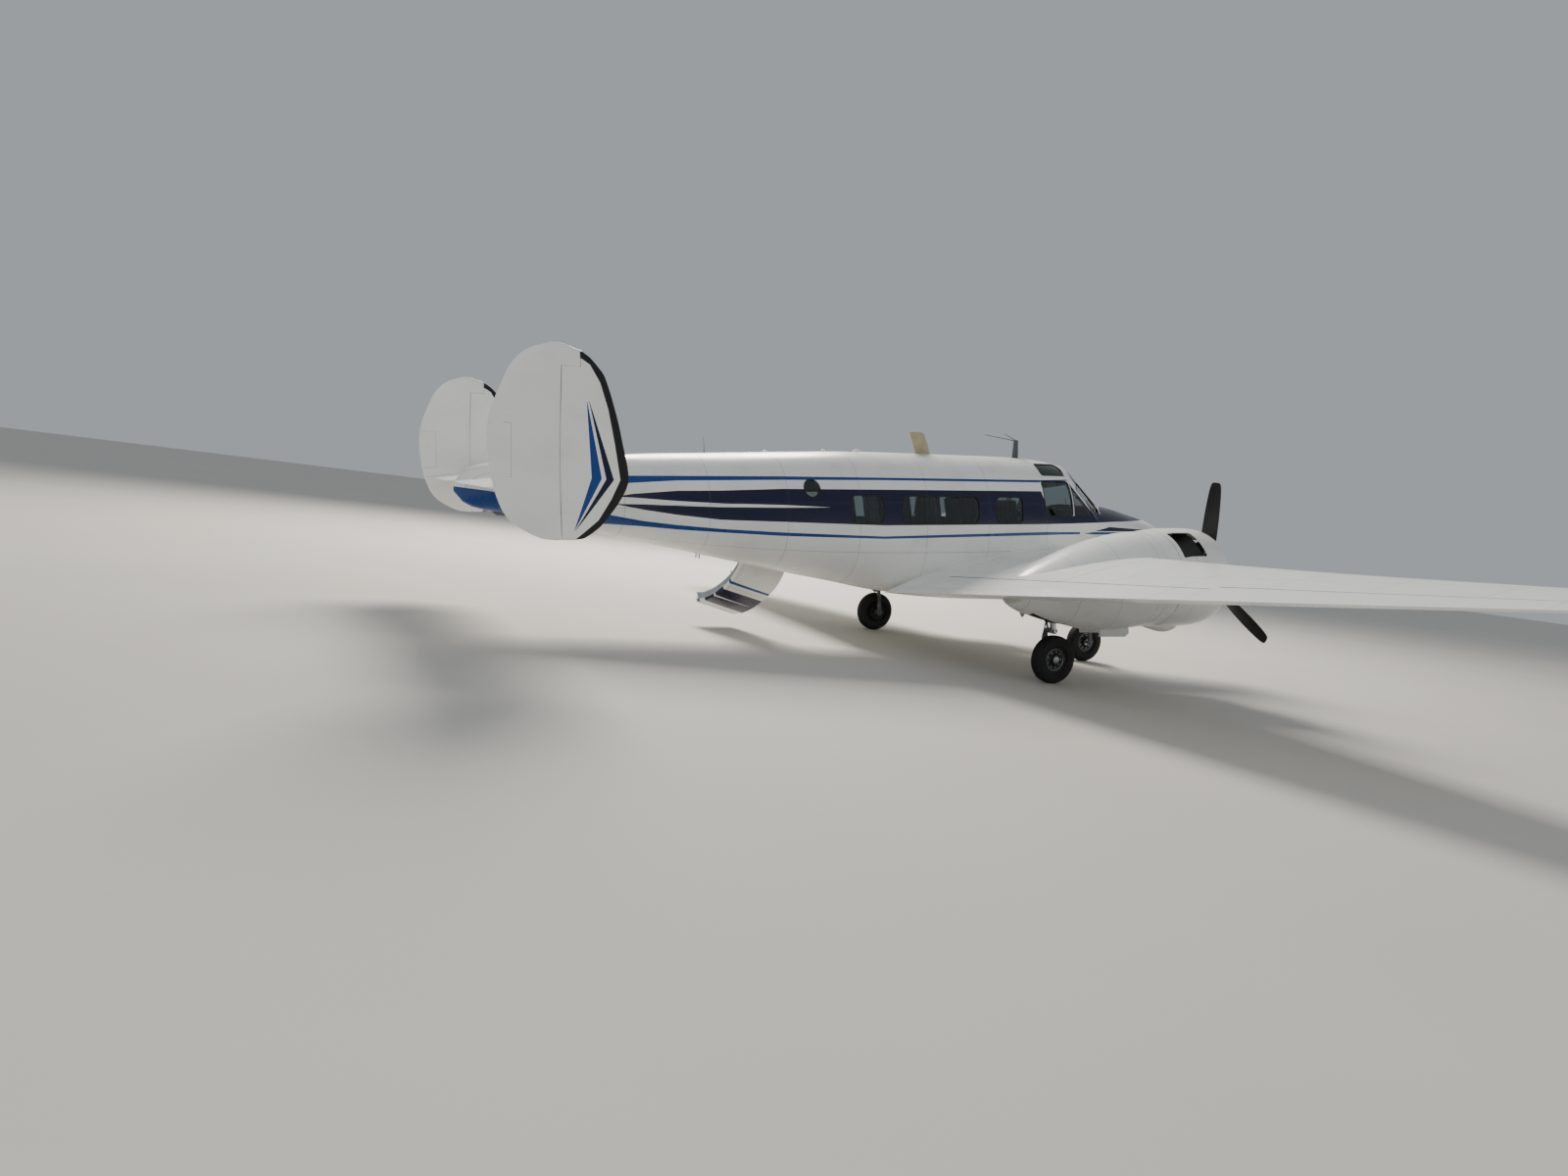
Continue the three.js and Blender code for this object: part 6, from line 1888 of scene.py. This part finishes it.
# %% Panel, wheels and pedestal
PANEL_SIDE = [(1.960, 1.960), (2.360, 1.990), (2.380, 1.900), (2.350, 1.560), (2.320, 1.560),
              (2.330, 1.860), (1.960, 1.860)]
board = meet(prism(PANEL_SIDE, -0.70, 0.70), behind_screen(deck_hull(WALL + 0.001), 0.060))
piece("panel_board", board, panel_paint, instead="instrument_panel")
PILOT_Y = 0.290
PANEL_FOOT_S, PANEL_FOOT_Z = 2.351, 1.560
lean = math.atan2(0.030, 0.340)
faces, bezels = [], []
DIAL_R, GAUGE_R = 0.036, 0.024
places = [
    (side * PILOT_Y + a, z, DIAL_R) for side in (1, -1) for a in (-0.09, 0, 0.09)
    for z in (1.660, 1.755)
]
places += [(a, z, GAUGE_R) for a in (-0.06, 0, 0.06) for z in (1.640, 1.702, 1.764)]
for y, z, r in places:
    s = PANEL_FOOT_S + (z - PANEL_FOOT_Z) * math.tan(lean)
    way = Vector((-math.cos(lean), 0, math.sin(lean)))
    middle = at(s, y, z)
    faces.append(tube([middle - way * 0.004, middle + way * 0.003], r, 28))
    bezels.append(cut(tube([middle - way * 0.004, middle + way * 0.007], r + 0.004, 28),
                      tube([middle - way * 0.01, middle + way * 0.02], r, 28)))
    bezels.append(block(s - 0.006, s + 0.0045, y - 0.0012, y + 0.0012, z, z + r * 0.8))
piece("dial_faces", together(*faces), prop_paint)
piece("dial_bezels", together(*bezels), bright_metal)
yokes = []
for y in (PILOT_Y, -PILOT_Y):
    column = bend([at(2.350, y, 1.610), at(2.450, y, 1.615), at(2.520, y, 1.640)], 4)
    yokes.append(tube(column, 0.013, 14))
    rim = [at(2.530, y + 0.135 * math.cos(a), 1.655 + 0.105 * math.sin(a))
           for a in [math.radians(140 + 10 * k) for k in range(27)]]
    spokes = [at(2.530, y - 0.12, 1.61), at(2.522, y, 1.645), at(2.530, y + 0.12, 1.61)]
    yokes += [tube(rim, 0.011, 12), tube(spokes, 0.010, 12)]
pedestal = prism([(2.330, 1.030), (2.640, 1.045), (2.620, 1.380), (2.420, 1.560), (2.345, 1.560)],
                 -0.085, 0.085)
LEVER_Y = (-0.06, -0.035, -0.01, 0.015, 0.04, 0.065)
levers = [tube([at(2.520, y, 1.470), at(2.500, y, 1.570)], 0.004, 8) for y in LEVER_Y]
knobs = [tube([at(2.500, y - 0.009, 1.575), at(2.500, y + 0.009, 1.575)], 0.013, 12) for y in LEVER_Y]
piece("control_wheels", together(*yokes, *knobs), prop_paint)
piece("control_pedestal", together(pedestal, *levers), panel_paint)
print(len(places), "dials")

# %% [markdown]
# ## Seats
# Eight seats have tube frames that stand on the floor. Their cushions are vinyl
# covers, sewn in channels over foam: the foam pushes the cover out, and the
# seams hold it in. A cloth simulation does just that. The cover is blown up
# a little while the seam lines stay pinned, and every seat takes a copy.

# %% A sewn cushion
seat_vinyl = plain_finish("blue_grey_seat_vinyl", "#2F3947", 0.5, second="#252D38", grain=0.12,
                          scale=200)
PUFF, PUFF_LIMIT = 4.0, 0.012
PAD_GRID, SEAM_HALF, EDGE_HALF, PUFF_FRAMES = 0.010, 0.0052, 0.004, 20


def sewn_pad(width, length, thick, channels=3):
    """A cushion about its middle: a puffed box with pinned seams across its two faces."""
    b = bmesh.new()
    bmesh.ops.create_cube(b, size=1,
                          matrix=Matrix.Diagonal((length - 0.024, width - 0.024, thick - 0.020, 1)))
    bmesh.ops.bevel(b, geom=b.edges[:], offset=0.018, segments=3, affect="EDGES", profile=0.5)
    mesh = bpy.data.meshes.new("pad")
    b.to_mesh(mesh)
    b.free()
    o = linked("pad", mesh)
    remesh = o.modifiers.new("even", "REMESH")
    remesh.mode, remesh.voxel_size = "VOXEL", PAD_GRID
    even = evaluated(o)
    o.modifiers.clear()
    o.data = even
    start = [v.co.copy() for v in even.vertices]
    seams = [width * (k / channels - 0.5) for k in range(1, channels)]
    held = [v.index for v in even.vertices
            if min(abs(v.co.y - y) for y in seams) < SEAM_HALF or abs(v.co.z) < EDGE_HALF]
    group = o.vertex_groups.new(name="seams")
    group.add(held, 1.0, "REPLACE")
    cloth = o.modifiers.new("cover", "CLOTH")
    cloth.settings.use_pressure = True
    cloth.settings.uniform_pressure_force = PUFF
    cloth.settings.effector_weights.gravity = 0
    cloth.settings.vertex_group_mass = "seams"
    for frame_number in range(1, PUFF_FRAMES + 1):
        bpy.context.scene.frame_set(frame_number)
    puffed = evaluated(o)
    for v, p in zip(puffed.vertices, start):
        step = v.co - p
        v.co = p + step * min(1.0, PUFF_LIMIT / max(step.length, 1e-9))
    even = puffed
    bpy.context.scene.frame_set(1)
    bpy.data.objects.remove(o)
    return even


CREW_WIDTH, CABIN_WIDTH = 0.430, 0.360
CUSHION, BACK = (0.430, 0.110), (0.600, 0.095)
seat_pads = {w: (sewn_pad(w, *CUSHION), sewn_pad(w, *BACK)) for w in (CREW_WIDTH, CABIN_WIDTH)}
print("a cushion has", len(seat_pads[CREW_WIDTH][0].polygons), "faces")


# %% Seats in their places
def floor_at(s):
    """The height of the cabin floor, which climbs aft of the door."""
    (s0, z0), (s1, z1) = (FLOOR_FRONT, FLOOR_DOOR) if s < FLOOR_DOOR[0] else (FLOOR_DOOR, FLOOR_END)
    return z0 + (z1 - z0) * (s - s0) / (s1 - s0)


# The tubes of a seat's frame, as (aft, up) from the seat's place on the floor.
SEAT_FRONT_LEG = [(-0.400, 0.018), (-0.370, 0.150), (-0.395, 0.250)]
SEAT_REAR_LEG = [(-0.030, 0.018), (-0.060, 0.150), (-0.040, 0.250)]
SEAT_RAIL, SEAT_POST = [(-0.415, 0.018), (-0.010, 0.018)], [(0.030, 0.260), (0.150, 0.940)]
SEAT_TUBE_R = 0.012
BACK_LEAN = math.atan2(0.125, 0.640)


def seat(name, s, y, width):
    """The cushions of one seat, and the meshes of its frame."""
    f = floor_at(s)
    base, back = seat_pads[width]
    on_base = Matrix.Translation(at(s - 0.214, y, f + 0.322))
    upright_back = Matrix.Rotation(math.pi / 2 - BACK_LEAN, 4, "Y")
    on_back = Matrix.Translation(at(s + 0.062, y, f + 0.690)) @ upright_back
    for part, mesh, place in (("cushion", base, on_base), ("back", back, on_back)):
        piece(f"{name}_{part}", moved(mesh, place), seat_vinyl, sharp=180)
    w = width / 2 - 0.025
    legs = []
    for edge in (y + w, y - w):
        front, rear, rail, post = (
            [at(s + aft, edge, f + up) for aft, up in row]
            for row in (SEAT_FRONT_LEG, SEAT_REAR_LEG, SEAT_RAIL, SEAT_POST)
        )
        legs += [tube(path, SEAT_TUBE_R, 12) for path in (bend(front, 5), bend(rear, 5), rail)]
        legs.append(tube(post, 0.010, 12))
    pan = block(s - 0.415, s + 0.030, y - w - 0.010, y + w + 0.010, f + 0.244, f + 0.262, edge=0.006)
    return together(pan, *legs)


CREW_S, CABIN_SEAT_S, CABIN_SEAT_Y = 3.060, (3.900, 4.750, 5.600), 0.335
for word, side in SIDES.items():
    crew = seat(f"crew_seat_{word}", CREW_S, side * PILOT_Y, CREW_WIDTH)
    piece(f"crew_seat_frame_{word}", crew, steel_paint, instead=f"crew_seat_{word}")
    rows = [
        seat(f"cabin_seat_{word}_{n}", s, side * CABIN_SEAT_Y, CABIN_WIDTH)
        for n, s in enumerate(CABIN_SEAT_S, 1)
    ]
    piece(f"cabin_seat_frames_{word}", together(*rows), steel_paint, instead=f"cabin_seats_{word}")
print("seats:", sum(1 for n in pieces if n.endswith("_cushion")))

# %% [markdown]
# ## Small things on the skin
# A whip aerial, breathers and a beacon base stand on the roof, two drain
# pipes hang under the belly, and a skid guards the tail. Wipers lie on the
# windscreen. The wing tips carry a red and a green lamp. They are small
# turned or bent pieces, each set a little into the skin, as if riveted on.

# %% Roof, belly and tail
whip = tube([at(7.770, 0, 2.535), at(7.774, 0, 2.570), at(7.786, 0, 2.722)],
            [0.008, 0.003, 0.0016], 10)
DISC = [(-0.004, 0), (-0.004, 0.020), (0.004, 0.020), (0.004, 0)]
beacon_base = moved(turned(DISC, (0, 0, 0), sides=20),
                    Matrix.Translation(at(5.853, 0, 2.611)) @ Matrix.Rotation(math.pi / 2, 4, "Y"))


def dome(s, z, r, high):
    """A low round cap on the roof."""
    profile = [(high * math.cos(a), r * math.sin(a)) for a in [math.pi / 2 * k / 8 for k in range(9)]]
    shape = turned([*profile, (-0.03, r), (-0.03, 0)], (0, 0, 0), sides=32)
    return moved(shape, Matrix.Translation(at(s, 0, z)) @ Matrix.Rotation(-math.pi / 2, 4, "Y"))


def blister(rows, count):
    """A closed drop from (station, half width, middle height, half height) rows."""
    return loft([
        [at(s, half * math.cos(a), middle + high * math.sin(a)) for a in round_angles(count)]
        for s, half, middle, high in rows
    ])


domes = [dome(7.007, 2.566, 0.038, 0.028), dome(6.224, 2.604, 0.034, 0.024)]
roof_blister = blister([
    (5.670, 0.012, 2.600, 0.010), (5.690, 0.030, 2.600, 0.030), (5.740, 0.038, 2.600, 0.042),
    (5.790, 0.032, 2.600, 0.036), (5.812, 0.012, 2.600, 0.012),
], 24)
drains = [tube([at(7.830, y, 1.410), at(7.835, y, 1.330)], 0.007, 10) for y in (0.05, -0.05)]
skid = blister([
    (9.960, 0.010, 1.850, 0.015), (10.020, 0.026, 1.850, 0.040), (10.110, 0.030, 1.870, 0.050),
    (10.190, 0.012, 1.900, 0.020),
], 20)
piece("roof_black_bits", together(whip, beacon_base, *drains), seal_rubber)
piece("roof_white_bits", together(*domes, roof_blister), white_plastic)
piece("tail_skid", skid, steel_paint)

# %% Wipers
ARM = [(-0.005, 0.110, 0.010), (0.020, 0.115, 0.016), (0.235, 0.330, 0.014)]
WIPER_BLADE = [(0.130, 0.380, 0.0075), (0.235, 0.330, 0.0075), (0.360, 0.275, 0.0075)]
arm = tube([on_pane(*p) for p in ARM], [0.010, 0.006, 0.004], 10)
wipers = together(arm, tube([on_pane(*p) for p in WIPER_BLADE], 0.005, 8))
piece("wipers", together(wipers, mirrored(wipers)), seal_rubber)

# %% Wing tip lamps
LAMP = [(0.055, 0), (0.050, 0.008), (0.035, 0.016), (0, 0.020), (-0.045, 0.014), (-0.060, 0)]
lamp = moved(turned(LAMP, (0, 0, 0), sides=24, closed=False),
             Matrix.Translation(wing_point(7.545, 0.30)))
for word, lens in (("left", red_lens), ("right", green_lens)):
    piece(f"tip_lamp_{word}", on_side(lamp, SIDES[word]), lens)
print("small pieces:", len(pieces))
